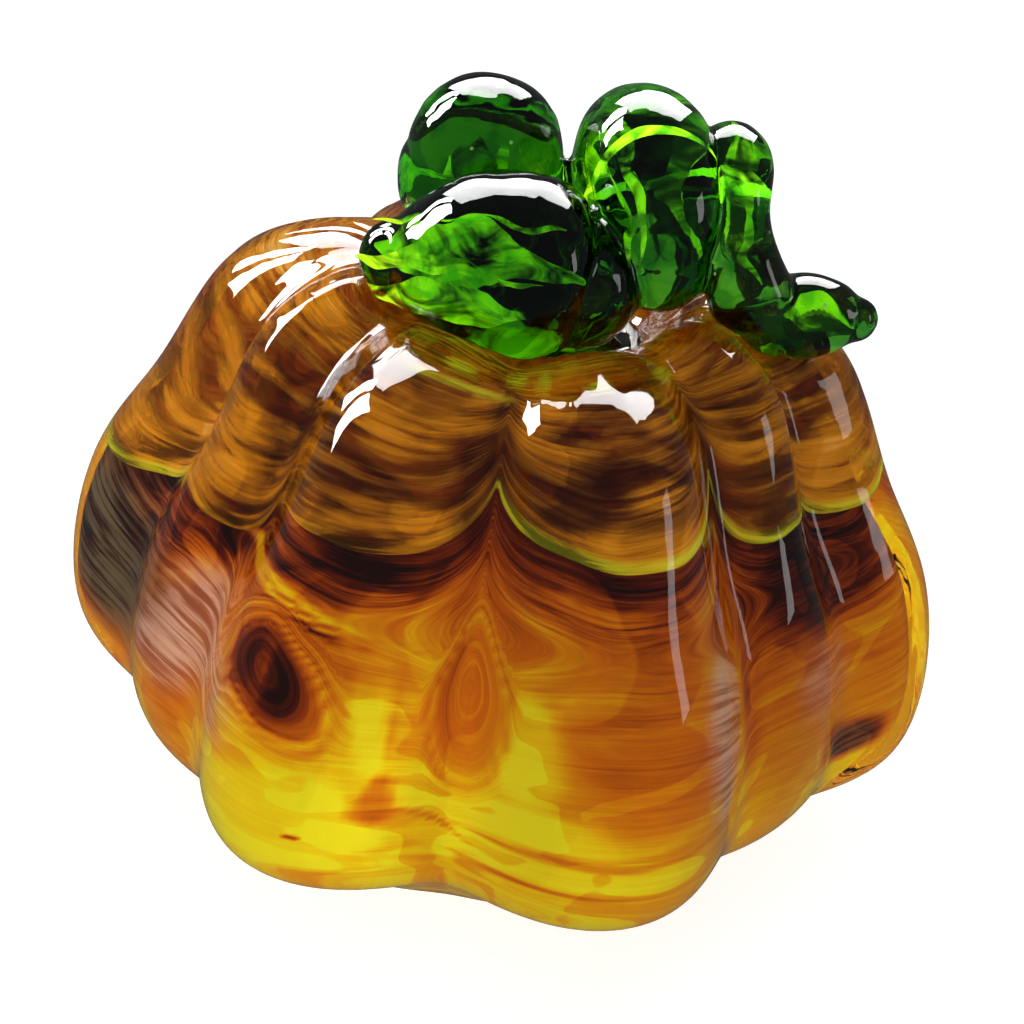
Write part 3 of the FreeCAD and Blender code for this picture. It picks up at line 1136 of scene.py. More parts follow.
@dataclass
class ColourCoat:
    """The marbled inner colour: dark under the petals, orange streaks, lemon at the foot."""

    form: RibbedForm
    depth: float = 5.0
    around: int = 420
    rows: int = 225
    eye: Patch = Patch(-28.0, 0.500, 5.8, 0.021, 0.10, slant=-0.8)
    drip: Patch = Patch(-2.0, 0.508, 7.4, 0.054, 0.50)
    bands: tuple = ((-0.60, 0.74), (-0.25, 0.84), (-0.19, 0.82), (-0.14, 0.72), (-0.10, 0.60),
                    (-0.065, 0.50), (-0.035, 0.33), (-0.014, 0.16), (0.0, 0.18),
                    (0.03, 0.20), (0.10, 0.22), (0.20, 0.34), (0.40, 0.40))
    patches: tuple = (
        Patch(-10, 0.45, 36, 0.075, 0.82, 0.9), Patch(-26, 0.425, 12, 0.030, 1.0, 0.95, 0.22),
        Patch(-34, 0.546, 17, 0.007, 0.92, 0.95, 0.3, slant=-0.5),
        Patch(-22, 0.533, 10, 0.002, 0.20, 0.8, 0.4, slant=-0.5),
        Patch(-24, 0.540, 10, 0.0015, 0.30, 0.7, 0.4, slant=-0.5),
        Patch(-16, 0.497, 3.2, 0.040, 0.94, 0.9, 0.2), Patch(-14, 0.500, 1.0, 0.030, 0.55, 0.6),
        Patch(-17, 0.535, 5, 0.03, 0.66, 0.7), Patch(9, 0.492, 5, 0.028, 0.96, 0.95, 0.3),
        Patch(13, 0.452, 15, 0.010, 1.0, 0.95, 0.2), Patch(-3, 0.452, 10, 0.020, 0.93, 0.8, 0.2),
        Patch(-1, 0.425, 11, 0.014, 0.96, 0.9, 0.2), Patch(17, 0.425, 12, 0.009, 0.90, 0.85, 0.3),
        Patch(4, 0.4085, 18, 0.003, 0.34, 0.75, 0.5), Patch(16, 0.437, 12, 0.002, 0.40, 0.7, 0.5),
        Patch(-15, 0.447, 1.8, 0.014, 0.50, 0.85, 0.3, slant=2.0),
        Patch(-7, 0.436, 10, 0.0018, 0.56, 0.7, 0.5, slant=-1.0),
        Patch(-24, 0.418, 0.8, 0.002, 0.30, 0.9), Patch(-27, 0.385, 17, 0.022, 0.98, 0.9, 0.3),
        Patch(-6, 0.405, 8, 0.008, 0.97, 0.9, 0.3),
        Patch(24, 0.50, 9, 0.045, 0.52, 0.9), Patch(35, 0.49, 5, 0.040, 0.80, 0.6),
        Patch(45, 0.50, 4, 0.05, 0.42, 0.7), Patch(52, 0.53, 6, 0.04, 0.30, 0.6),
        Patch(70, 0.545, 18, 0.035, 0.08, 0.85), Patch(66, 0.485, 14, 0.022, 0.60, 0.8),
        Patch(76, 0.430, 9, 0.014, 0.12, 0.85), Patch(74, 0.47, 6, 0.014, 0.70, 0.8),
        Patch(-68, 0.525, 14, 0.016, 0.08, 0.9), Patch(-52, 0.50, 12, 0.03, 0.66, 0.6),
        Patch(-3, 0.625, 9, 0.025, 0.20, 0.7), Patch(-15.5, 0.440, 3, 0.008, 0.50, 0.8),
        Patch(3, 0.395, 3, 0.02, 0.68, 0.8))
    # painted shade: dark greys and olives at the sides stand in for the dark surroundings seen
    # through the clear glass edge
    edge_shades: tuple = (
        Patch(-94, 0.46, 20, 0.050, 1.0, 0.95), Patch(-70, 0.475, 14, 0.030, 1.0, 0.6),
        Patch(98, 0.50, 8, 0.08, 1.0, 0.5), Patch(77, 0.430, 8, 0.014, 1.0, 0.6))
    # painted reflections: pale pink patches stand in for the tall soft lights mirrored down the
    # body's sides
    pink_reflections: tuple = (
        Patch(-52, 0.485, 9, 0.028, 1.0, 0.75), Patch(-62, 0.455, 9, 0.02, 1.0, 0.6),
        Patch(-40, 0.47, 7, 0.02, 1.0, 0.6), Patch(33, 0.485, 4.5, 0.045, 1.0, 0.8, 0.3),
        Patch(66, 0.48, 8, 0.02, 1.0, 0.35))
    bend: float = 0.006
    patch_bend: float = 300.0
    stain_bend: float = 500.0
    follow_from: tuple = (0.38, 0.56)
    follow_least: float = 0.25
    sway: float = 1.5
    lift: float = 0.006
    calm_tones: tuple = (0.70, 0.92)
    calm_levels: tuple = (0.53, 0.47)
    calming: float = 0.72
    busy_rise: tuple = (-0.075, -0.045)
    busy_fall: tuple = (0.0, -0.02)
    stirring: float = 0.8
    eye_edge: tuple = (1.9, 1.0)
    eye_stop: tuple = (-10.0, -20.0)
    eye_facets: float = 0.16
    facet_edge: tuple = (1.0, 0.5)
    eye_lines: float = 0.13
    line_pitch: float = 21.0
    line_edge: tuple = (0.9, 1.15)
    tear_edge: tuple = (1.25, 0.85)
    tear_cover: float = 0.9
    tear_point: float = 0.8
    tear_taper: tuple = (0.50, 0.57)
    ring_height: float = 6.0
    tear_ring_height: float = 5.0
    eye_rings: tuple = ((0.0, 0.24), (0.4, 0.12), (0.85, 0.22), (1.1, 0.40), (1.3, 0.62),
                        (1.5, 0.42), (1.7, 0.66), (1.9, 0.56), (2.2, 0.80))
    tear_rings: tuple = ((0.0, 0.60), (0.55, 0.54), (0.80, 0.62), (0.90, 0.82), (1.0, 0.52),
                         (1.10, 0.74), (1.25, 0.82))

    def paint(self, azimuth: np.ndarray, level: np.ndarray,
              around: np.ndarray) -> dict[str, np.ndarray]:
        """Flow, tone, painted edge shade and painted pink reflections of the colour.

        Args:
            azimuth: degrees round the body from the front.
            level: height shares.
            around: places from 0 to 1 round the body, from the back.

        Returns:
            The values of each point attribute, by name.
        """
        edge = petal_edge(self.form, around)
        below = level - edge
        bend = self.bend * wander(azimuth, level, seed=21, pitch=5)
        tone = laid_over(np.interp(below + bend, *zip(*self.bands)), self.patches,
                         azimuth + bend * self.patch_bend, level + bend)
        # streaks follow the petals' edges above and run level at the foot
        follow = self.follow_least \
            + (1 - self.follow_least) * smooth_step(level, *self.follow_from)
        height = (level - edge * follow + bend) * LEVEL_MM
        sway = self.sway * wander(azimuth, level, seed=22, pitch=18)
        lift = self.lift * wander(azimuth, level, seed=24, pitch=15)
        tone, height = self._eye(tone, height, azimuth, level, sway, lift)
        tone, height = self._tear(tone, height, azimuth, level, sway, lift)
        # light glass and the foot are calm, the dark band under the petals is busy
        calm = np.maximum(smooth_step(tone, *self.calm_tones),
                          0.5 * smooth_step(level, *self.calm_levels))
        busy = smooth_step(below, *self.busy_rise) * smooth_step(below, *self.busy_fall)
        # painted shade at the sides and painted pink reflections of the pale side lights
        smoke, blush = (laid_over(np.zeros_like(tone), stains,
                                  azimuth + bend * self.stain_bend, level + bend)
                        for stains in (self.edge_shades, self.pink_reflections))
        return {"flow": self.form.flow(azimuth, height), "tone": tone,
                "streak": 1.0 - self.calming * calm + self.stirring * busy,
                "smoke": smoke, "blush": blush}

    def _eye(self, tone: np.ndarray, height: np.ndarray, azimuth: np.ndarray,
             level: np.ndarray, sway: np.ndarray,
             lift: np.ndarray) -> tuple[np.ndarray, np.ndarray]:
        """Lays the dark ringed eye over the tones and winds the streaks round it.

        Args:
            tone: the tones so far.
            height: the streaks' heights so far.
            azimuth: degrees round the body.
            level: height shares.
            sway: sideways wobble in degrees.
            lift: upward wobble in height shares.

        Returns:
            The new tones and heights.
        """
        swirl = self.eye.distance(azimuth + sway, level + lift)
        inside = smooth_step(swirl, *self.eye_edge) * smooth_step(azimuth, *self.eye_stop)
        rings = np.interp(swirl, *zip(*self.eye_rings))
        facets = self.eye_facets * wander(azimuth, level * 0.1, seed=25, pitch=46) \
            * smooth_step(swirl, *self.facet_edge)
        lines = self.eye_lines * np.sin(swirl * self.line_pitch + sway) \
            * smooth_step(swirl, *self.line_edge)
        return (tone + (rings + facets + lines - tone) * inside,
                height + (swirl * self.ring_height + 0.8 * sway - height) * inside)

    def _tear(self, tone: np.ndarray, height: np.ndarray, azimuth: np.ndarray,
              level: np.ndarray, sway: np.ndarray,
              lift: np.ndarray) -> tuple[np.ndarray, np.ndarray]:
        """Lays the teardrop over the tones, narrower towards its top.

        Args:
            tone: the tones so far.
            height: the streaks' heights so far.
            azimuth: degrees round the body from the front.
            level: height shares.
            sway: sideways wobble in degrees.
            lift: upward wobble in height shares.

        Returns:
            The new tones and heights.
        """
        narrow = 1.0 + self.tear_point * smooth_step(level, *self.tear_taper)
        tear = self.drip.distance((azimuth - self.drip.azimuth + 0.6 * sway) * narrow
                                  + self.drip.azimuth, level + 0.5 * lift)
        within = smooth_step(tear, *self.tear_edge)
        drops = np.interp(tear, *zip(*self.tear_rings))
        return (tone + (drops - tone) * within * self.tear_cover,
                height + (tear * self.tear_ring_height - height) * within)

    def build(self, tree: bpy.types.NodeTree, settings: dict) -> bpy.types.Object:
        """Builds the colour as one closed surface.

        Args:
            tree: the wrapping tree.
            settings: the tree's shared inputs.

        Returns:
            The finished coat.
        """
        even = np.linspace(0.0, 1.0, self.rows)
        # most rows lie on the wall that shows, fewer underneath and in the dimple
        rows = np.interp(even, (0.0, 0.12, 0.85, 1.0), (0.0, 0.34, 0.80, 1.0))
        finish = StreakedGlass(
            "marbled_colour", ((0.0, srgb(30, 9, 5)), (0.16, srgb(78, 22, 6)),
                               (0.34, srgb(138, 54, 5)), (0.52, srgb(190, 94, 6)),
                               (0.66, srgb(202, 120, 5)), (0.80, srgb(212, 152, 5)),
                               (0.90, srgb(218, 182, 8)), (1.0, srgb(220, 206, 24))),
            glow=0.20, fine=0.62, broad=0.42,
            # painted shade at the body's sides, then painted pink reflections
            tints=(("smoke", srgb(18, 14, 14), srgb(80, 74, 54)),
                   # painted pink reflections of the side lights
                   ("blush", srgb(150, 84, 58), srgb(216, 168, 146))))
        net = LayerNet("marbled_colour", self.form, self.around)
        return net.build([Sheet(rows, np.full(self.rows, self.depth), np.zeros(self.rows))],
                         tree, {**settings, "Material": finish.material()}, self.paint)


# ---- the stem ------------------------------------------------------------------------
@dataclass(frozen=True)
class Rope:
    """One run of the hot green rope: places, rise above its foot, and radius, in mm."""

    name: str
    foot: float
    stations: tuple

    def route(self, steps: int) -> np.ndarray:
        """Centres and radii on a smooth curve through the stations, in millimetres.

        Args:
            steps: centres from one station to the next.

        Returns:
            One row of x, y, z and radius for each centre.
        """
        line = np.array(self.stations, float)
        line[:, 2] += self.foot
        line = np.vstack([2 * line[0] - line[1], line, 2 * line[-1] - line[-2]])
        t = (np.arange(steps) / steps)[:, None]
        runs = [b + 0.5 * t * ((c - a) + t * (2 * a - 5 * b + 4 * c - d)
                               + t * t * (3 * b - a - 3 * c + d))
                for a, b, c, d in zip(line, line[1:], line[2:], line[3:])]
        return np.vstack(runs + [line[-2:-1]])


STEM_ROPES = (
    Rope("front_lobe", 61.5, ((-14.0, -10.2, 2.4, 3.8), (-11.2, -10.6, 2.8, 6.4),
                              (-7.5, -11.0, 3.1, 8.6), (-3.2, -11.0, 2.9, 9.7),
                              (0.6, -10.8, 2.6, 9.2), (3.4, -10.4, 2.0, 6.6))),
    Rope("back_lobe", 61.5, ((-5.6, 4.4, -3.0, 6.4), (-6.2, 4.8, 2.0, 7.6),
                             (-7.1, 5.2, 6.6, 8.8), (-7.1, 5.0, 9.6, 8.0))),
    Rope("middle_loop", 61.5, ((5.8, 6.3, 0.5, 4.6), (6.4, 6.3, 7.6, 5.0),
                               (7.8, 2.7, 12.6, 6.0), (9.3, -2.7, 13.5, 6.3),
                               (10.8, -6.8, 9.4, 6.1), (11.5, -7.9, 4.6, 5.0))),
    Rope("end_loop", 59.5, ((16.8, 5.4, 5.0, 3.0), (17.0, 2.7, 13.6, 3.5),
                            (17.7, -1.8, 15.6, 3.7), (18.2, -5.4, 11.0, 3.5),
                            (19.4, -6.8, 7.0, 4.0), (20.8, -6.6, 4.0, 4.4))),
    Rope("tail", 59.1, ((23.4, -5.6, 2.0, 4.0), (26.6, -5.0, 2.3, 4.4),
                        (29.8, -4.6, 2.5, 3.6), (31.8, -4.5, 2.5, 2.3))))


@dataclass
class Stem:
    """The green rope dropped in folds on the crown."""

    form: RibbedForm
    voxel: float = 0.42
    turn_points: int = 40
    steps: int = 14
    relax_factor: float = 0.5
    relax_passes: int = 7
    unevenness: float = 0.05
    waves: tuple = ((9.0, 1.0), (6.0, 0.8), (4.2, 0.5), (3.0, 0.25))
    seat_gap: float = 0.05
    seat_cell: float = 0.5
    seat_from: float = 0.45
    fill_passes: int = 6
    blur_passes: int = 3
    round_end: tuple = ((0.15, 0.99), (0.3, 0.95), (0.5, 0.87), (0.7, 0.71), (0.85, 0.53),
                        (0.95, 0.31), (1.0, 0.10))
    finish: ClearGlass = ClearGlass("green_rope_glass", tint=srgb(165, 225, 105),
                                    swirl_tint=srgb(70, 150, 66), shade=srgb(70, 150, 40),
                                    swirls=170.0, stretch=(1.0, 1.0, 0.8), ripple=0.05,
                                    haze=0.0, density=300.0, depth_colour=(0.25, 0.60, 0.05))

    def tube(self, rope: Rope, slimmer: float = 1.0) -> tuple[np.ndarray, np.ndarray]:
        """Points and faces of one rope.

        Args:
            rope: the rope.
            slimmer: factor on its radius.

        Returns:
            The points in metres and the faces of its closed skin.
        """
        route = rope.route(self.steps)
        along = np.gradient(route[:, :3], axis=0)
        along /= np.linalg.norm(along, axis=1)[:, None]
        middle, wide = [route[:, :3]], [route[:, 3] * slimmer]
        heading = [along]
        for far, share in self.round_end:
            middle.insert(0, (route[:1, :3] - along[:1] * route[0, 3] * slimmer * far))
            middle.append(route[-1:, :3] + along[-1:] * route[-1, 3] * slimmer * far)
            wide.insert(0, route[:1, 3] * slimmer * share)
            wide.append(route[-1:, 3] * slimmer * share)
            heading.insert(0, along[:1])
            heading.append(along[-1:])
        centre, radius = np.vstack(middle), np.concatenate(wide)
        heading = np.vstack(heading)
        angle = 2 * np.pi * np.arange(self.turn_points) / self.turn_points
        side, rings = np.array([1.0, 0.0, 0.0]), []
        for place, reach, line in zip(centre, radius, heading):
            side = side - line * side.dot(line)
            side /= np.linalg.norm(side)
            across = np.cross(line, side)
            rings.append(place + reach * (np.cos(angle)[:, None] * side
                                          + np.sin(angle)[:, None] * across))
        points = np.vstack(rings) * MM
        count, turns = len(rings), self.turn_points
        row, column = np.divmod(np.arange((count - 1) * turns), turns)
        after = (column + 1) % turns
        quads = np.stack([row * turns + column, row * turns + after,
                          (row + 1) * turns + after, (row + 1) * turns + column], 1)
        caps = [list(range(turns))[::-1], list(range((count - 1) * turns, count * turns))]
        points[:, 0] += self.form.axis.x
        points[:, 1] += self.form.axis.y
        return points, quads.tolist() + caps

    def joined(self, name: str, ropes: tuple, slimmer: float = 1.0) -> bpy.types.Object:
        """One object that holds the skins of several ropes.

        Args:
            name: the object's name.
            ropes: the ropes.
            slimmer: factor on their radii.

        Returns:
            The object.
        """
        points, faces, start = [], [], 0
        for rope in ropes:
            some, skin = self.tube(rope, slimmer)
            points.append(some)
            faces += [[corner + start for corner in face] for face in skin]
            start += len(some)
        mesh = bpy.data.meshes.new(name)
        mesh.from_pydata(np.vstack(points).tolist(), [], faces)
        mesh.update()
        return new_object(name, mesh)

    def _work(self, mesh: bpy.types.Mesh) -> None:
        """Leaves the soft unevenness of hot glass pushed by hand, as a sum of sine waves.

        Args:
            mesh: the stem's mesh.
        """
        count = len(mesh.vertices) * 3
        place, normal = np.zeros(count), np.zeros(count)
        mesh.vertices.foreach_get("co", place)
        mesh.vertex_normals.foreach_get("vector", normal)
        place, normal = place.reshape(-1, 3), normal.reshape(-1, 3)
        draw = np.random.default_rng(41)
        push = np.zeros(len(place))
        for pitch, share in self.waves:
            way = draw.normal(size=3)
            way *= 2 * np.pi / (pitch * MM * np.linalg.norm(way))
            push += share * np.sin(place @ way + draw.uniform(0, 2 * np.pi))
        place += normal * (push * self.unevenness * MM)[:, None]
        mesh.vertices.foreach_set("co", place.ravel())
        mesh.update()

    def _seat(self, mesh: bpy.types.Mesh) -> None:
        """Presses the underside of the glass onto the crown.

        The crown's height is kept on a square grid: the highest place in each cell, with
        empty cells filled from their neighbours and the whole then blurred a little.

        Args:
            mesh: the stem's mesh.
        """
        around, share = np.meshgrid(np.linspace(0, 1, 361)[:-1],
                                    np.linspace(self.seat_from, 1.0, 160))
        crown = self.form.points(around.ravel(), share.ravel(), np.zeros(around.size))
        cell = self.seat_cell * MM
        low = crown[:, :2].min(0)
        spot = np.floor((crown[:, :2] - low) / cell).astype(int)
        grid_size = spot.max(0) + 2
        ground = np.zeros(grid_size)
        np.maximum.at(ground, (spot[:, 0], spot[:, 1]), crown[:, 2])
        moves = [(step, way) for step in (1, -1) for way in (0, 1)]
        for _ in range(self.fill_passes):
            spread = np.maximum.reduce([np.roll(ground, *move) for move in moves])
            ground = np.where(ground > 0, ground, spread)
        for _ in range(self.blur_passes):
            ground = (ground + sum(np.roll(ground, *move) for move in moves)) / (
                1 + len(moves))
        place = np.zeros(len(mesh.vertices) * 3)
        mesh.vertices.foreach_get("co", place)
        place = place.reshape(-1, 3)
        grid = np.clip((place[:, :2] - low) / cell - 0.5, 0, grid_size - 1.001)
        corner = np.floor(grid).astype(int)
        part = grid - corner
        level = sum(ground[corner[:, 0] + i, corner[:, 1] + j]
                    * (part[:, 0] if i else 1 - part[:, 0])
                    * (part[:, 1] if j else 1 - part[:, 1])
                    for i in (0, 1) for j in (0, 1))
        place[:, 2] = np.maximum(place[:, 2], level + self.seat_gap * MM)
        mesh.vertices.foreach_set("co", place.ravel())
        mesh.update()

    def build(self) -> bpy.types.Object:
        """Builds the folded rope as one smooth closed skin.

        Returns:
            The finished stem.
        """
        rough = self.joined("green_stem", STEM_ROPES)
        melt = rough.modifiers.new("melt", "REMESH")
        melt.mode = "VOXEL"
        melt.voxel_size = self.voxel * MM
        relax = rough.modifiers.new("relax", "SMOOTH")
        relax.factor = self.relax_factor
        relax.iterations = self.relax_passes
        stem = settled(rough)
        self._work(stem.data)
        self._seat(stem.data)
        stem.data.materials.clear()
        stem.data.materials.append(self.finish.material())
        stem.data.polygons.foreach_set("use_smooth", [True] * len(stem.data.polygons))
        return stem


@dataclass(frozen=True)
class Ribbon:
    """One veil: its rope, width, twist and start angle, and how far it lies off the middle."""

    rope: str
    width: float
    twist: float
    start: float
    aside: float
    up: float


@dataclass(frozen=True)
class Band:
    """One bright ring round a rope: where along it, its width, and its share of the radius."""

    rope: str
    along: float
    width: float
    reach: float


@dataclass
class Veils:
    """Lime veils that the rope folded into itself, with a painted glow, and dark sheets of painted
    shade. Sizes are in millimetres.
    """

    stem: Stem
    finish: GlowingVeil = GlowingVeil()
    # the lime rings carry a strong painted glow
    band_finish: GlowingVeil = GlowingVeil("lime_glow_band", srgb(120, 190, 10), srgb(215, 250, 60),
                                           2.6)
    # painted shade: near-black sheets stand in for the dark surroundings seen through the green
    # glass
    shade_finish: GlowingVeil = GlowingVeil("shade_fold", srgb(2, 16, 10), srgb(12, 70, 14),
                                           0.25)
    ribbons: tuple = (
        Ribbon("front_lobe", 4.8, 1.5, 0.9, -3.0, 1.2),
        Ribbon("front_lobe", 3.4, -1.6, 1.9, -7.0, -2.2),
        Ribbon("front_lobe", 1.8, -2.0, 0.5, -5.0, 4.6),
        Ribbon("front_lobe", 2.6, 1.2, 2.6, 3.0, -4.6),
        Ribbon("front_lobe", 2.4, -1.4, 1.2, -9.0, 1.0),
        Ribbon("back_lobe", 2.4, 4.0, 0.9, 4.0, 0.4),
        Ribbon("back_lobe", 1.8, 3.0, 0.2, -7.0, 0.4),
        Ribbon("back_lobe", 2.0, -3.0, 1.5, -2.0, -1.5),
        Ribbon("middle_loop", 2.4, 2.0, 2.4, -8.0, -1.4),
        Ribbon("middle_loop", 2.6, 3.0, 0.2, 4.0, 0.8),
        Ribbon("middle_loop", 2.0, -4.0, 1.4, -5.0, 0.4),
        Ribbon("end_loop", 2.2, 3.5, 0.8, 0.8, 0.8),
        Ribbon("tail", 2.4, 2.5, 0.3, 0.0, 0.4))
    # where the sheets of painted shade lie
    shade_ribbons: tuple = (
        Ribbon("back_lobe", 7.5, 1.2, 0.3, 0.0, 0.5),
        Ribbon("back_lobe", 6.0, -1.6, 1.9, 2.0, -1.5),
        Ribbon("middle_loop", 5.5, 1.4, 0.9, 1.0, 0.4),
        Ribbon("middle_loop", 4.5, -2.2, 2.4, -2.0, 0.0),
        Ribbon("end_loop", 4.0, 1.8, 0.2, 0.0, 0.3),
        Ribbon("tail", 4.0, -1.0, 1.3, 0.0, 0.0))
    bands: tuple = (Band("middle_loop", 0.66, 1.3, 0.80), Band("end_loop", 0.50, 2.2, 0.80),
                    Band("back_lobe", 0.62, 0.8, 0.82))
    thickness: float = 0.12
    drift: float = 4.5
    aside_share: tuple = (0.4, 0.5)
    route_steps: int = 8
    band_points: int = 48
    band_thickness: float = 0.15
    band_drift: float = 1.6
    band_wobble: tuple = (0.05, 0.6)
    folds: float = 170.0
    tip_share: float = 0.06

    def tree(self) -> bpy.types.NodeTree:
        """The geometry tree that draws a flat twisting ribbon along a line.

        Returns:
            The tree.
        """
        bench, given = new_tree("twisting_veil", {
            "Width": "NodeSocketFloat", "Thickness": "NodeSocketFloat",
            "Twist": "NodeSocketFloat", "Start": "NodeSocketFloat",
            "Drift": "NodeSocketFloat", "Material": "NodeSocketMaterial"})
        share = bench.term("GeometryNodeSplineParameter", "Factor")
        lean = Term(bench, given.outputs["Start"]) + share * Term(bench, given.outputs["Twist"])
        tilted = bench.node("GeometryNodeSetCurveTilt", None,
                            {"Curve": given.outputs["Geometry"], "Tilt": lean})
        profile = bench.node("GeometryNodeCurvePrimitiveQuadrilateral", None, {
            "Width": given.outputs["Width"], "Height": given.outputs["Thickness"]})
        swell = bench.maths("SINE", share * math.pi) + self.tip_share
        sweep = bench.node("GeometryNodeCurveToMesh", None, {
            "Curve": tilted.outputs[0], "Profile Curve": profile.outputs[0],
            "Scale": swell, "Fill Caps": True})
        place = bench.term("GeometryNodeInputPosition")
        swirl = bench.term("ShaderNodeTexNoise", "Color", None, {
            "Vector": place, "Scale": self.folds, "Detail": 1.0})
        swirl = bench.term("ShaderNodeVectorMath", 0, {"operation": "SUBTRACT"},
                           {0: swirl, 1: (NOISE_MIDDLE,) * 3})
        drift = bench.term("ShaderNodeVectorMath", 0, {"operation": "SCALE"},
                           {0: swirl, "Scale": given.outputs["Drift"]})
        folded = bench.node("GeometryNodeSetPosition", None,
                            {"Geometry": sweep.outputs[0], "Offset": drift})
        soft = bench.node("GeometryNodeSetShadeSmooth", None, {0: folded.outputs[0]})
        return close_tree(bench, soft.outputs[0], given.outputs["Material"])

    def _line(self, name: str, places: list, closed: bool = False) -> bpy.types.Object:
        """A straight-sided curve through places in millimetres from the blowing axis.

        Args:
            name: the object's name.
            places: x, y and z of each point.
            closed: whether its ends meet.

        Returns:
            The object.
        """
        axis = self.stem.form.axis
        curve = bpy.data.curves.new(name, "CURVE")
        curve.dimensions = "3D"
        spline = curve.splines.new("POLY")
        spline.points.add(len(places) - 1)
        spline.use_cyclic_u = closed
        for point, (x, y, z) in zip(spline.points, places):
            point.co = (x * MM + axis.x, y * MM + axis.y, z * MM, 1.0)
        return new_object(name, curve)

    def _ribbon(self, name: str, ribbon: Ribbon, tree: bpy.types.NodeTree,
                material: bpy.types.Material) -> bpy.types.Object:
        """Builds one veil along its rope.

        Args:
            name: the piece's name.
            ribbon: the veil.
            tree: the ribbon tree.
            material: its material.

        Returns:
            The finished veil.
        """
        right, back = (ribbon.aside * share for share in self.aside_share)
        places = [(x + right, y + back, z + ribbon.up)
                  for x, y, z, _ in self._route(ribbon.rope)]
        return with_tree(self._line(name, places), tree, {
            "Width": ribbon.width * MM, "Thickness": self.thickness * MM,
            "Twist": ribbon.twist, "Start": ribbon.start, "Drift": self.drift * MM,
            "Material": material})

    def _band(self, band: Band, tree: bpy.types.NodeTree,
              material: bpy.types.Material) -> bpy.types.Object:
        """Builds one bright ring round its rope.

        Args:
            band: the ring.
            tree: the ribbon tree.
            material: its material.

        Returns:
            The finished ring.
        """
        route = self._route(band.rope)
        spot = int(band.along * (len(route) - 1))
        ahead = Vector(route[spot + 1][:3] - route[spot - 1][:3]).normalized()
        turn = ahead.to_track_quat("Z", "Y").to_matrix()
        middle, radius = Vector(route[spot][:3]), route[spot][3]
        wave, lean = self.band_wobble
        places = []
        for number in range(self.band_points):
            angle = 2 * math.pi * number / self.band_points
            out = radius * band.reach * (1 + wave * math.sin(3 * angle))
            places.append(middle + turn @ Vector((out * math.cos(angle), out * math.sin(angle),
                                                  lean * math.sin(2 * angle + 1))))
        return with_tree(self._line(f"lime_glow_band_{band.rope}", places, closed=True), tree, {
            "Width": self.band_thickness * MM, "Thickness": band.width * MM, "Twist": 0.0,
            "Start": 0.0, "Drift": self.band_drift * MM, "Material": material})

    def _route(self, name: str) -> np.ndarray:
        """Centres and radii along a rope."""
        return next(rope for rope in STEM_ROPES if rope.name == name).route(self.route_steps)

    def build(self) -> list[bpy.types.Object]:
        """Builds every veil and band.

        Returns:
            The finished pieces.
        """
        tree = self.tree()
        lime, dark, bright = (finish.material() for finish in
                              (self.finish, self.shade_finish, self.band_finish))
        # the lime veils carry a painted glow
        made = [self._ribbon(f"lime_glow_veil_{number}", ribbon, tree, lime)
                for number, ribbon in enumerate(self.ribbons)]
        # dark sheets of painted shade, standing in for the dark surroundings seen through the
        # green glass
        made += [self._ribbon(f"shade_fold_{number}", ribbon, tree, dark)
                 for number, ribbon in enumerate(self.shade_ribbons)]
        return made + [self._band(band, tree, bright) for band in self.bands]


@dataclass
class Seeds:
    """Small gas seeds scattered through the glass."""

    finish: SeedGlass = SeedGlass()
    density: float = 9000.0
    smallest: float = 0.10
    largest: float = 0.26
    draw: int = 5

    def tree(self) -> bpy.types.NodeTree:
        """The geometry tree that scatters seeds over a hidden inner skin.

        Returns:
            The tree.
        """
        bench, given = new_tree("scattered_seeds", {
            "Density": "NodeSocketFloat", "Smallest": "NodeSocketFloat",
            "Largest": "NodeSocketFloat", "Seed": "NodeSocketInt",
            "Material": "NodeSocketMaterial"})
        spread = bench.node("GeometryNodeDistributePointsOnFaces", None, {
            "Mesh": given.outputs["Geometry"], "Density": given.outputs["Density"],
            "Seed": given.outputs["Seed"]})
        ball = bench.node("GeometryNodeMeshIcoSphere", None, {"Radius": 1.0,
                                                              "Subdivisions": 2})
        size = bench.node("FunctionNodeRandomValue", {"data_type": "FLOAT"}, {
            2: given.outputs["Smallest"], 3: given.outputs["Largest"],
            "Seed": given.outputs["Seed"]})
        placed = bench.node("GeometryNodeInstanceOnPoints", None, {
            "Points": spread.outputs[0], "Instance": ball.outputs[0],
            "Scale": size.outputs[1]})
        real = bench.node("GeometryNodeRealizeInstances", None, {0: placed.outputs[0]})
        soft = bench.node("GeometryNodeSetShadeSmooth", None, {0: real.outputs[0]})
        return close_tree(bench, soft.outputs[0], given.outputs["Material"])

    def build(self, skin: bpy.types.Object) -> bpy.types.Object:
        """Scatters seeds over a hidden skin, which they take the place of.

        Args:
            skin: the hidden skin, already named.

        Returns:
            The finished seeds.
        """
        return with_tree(skin, self.tree(), {
            "Density": self.density, "Smallest": self.smallest * MM,
            "Largest": self.largest * MM, "Seed": self.draw,
            "Material": self.finish.material()})


# ---- the studio ----------------------------------------------------------------------
@dataclass(frozen=True)
class Lamp:
    """One soft lamp that faces the figure.

    It stands towards a direction, some metres away, with a width and height in metres.
    A fill lights matt surfaces only; any other lamp is only mirrored by polished ones.
    """

    name: str
    toward: tuple
    away: float
    size: tuple
    radiance: float
    fill: bool = False


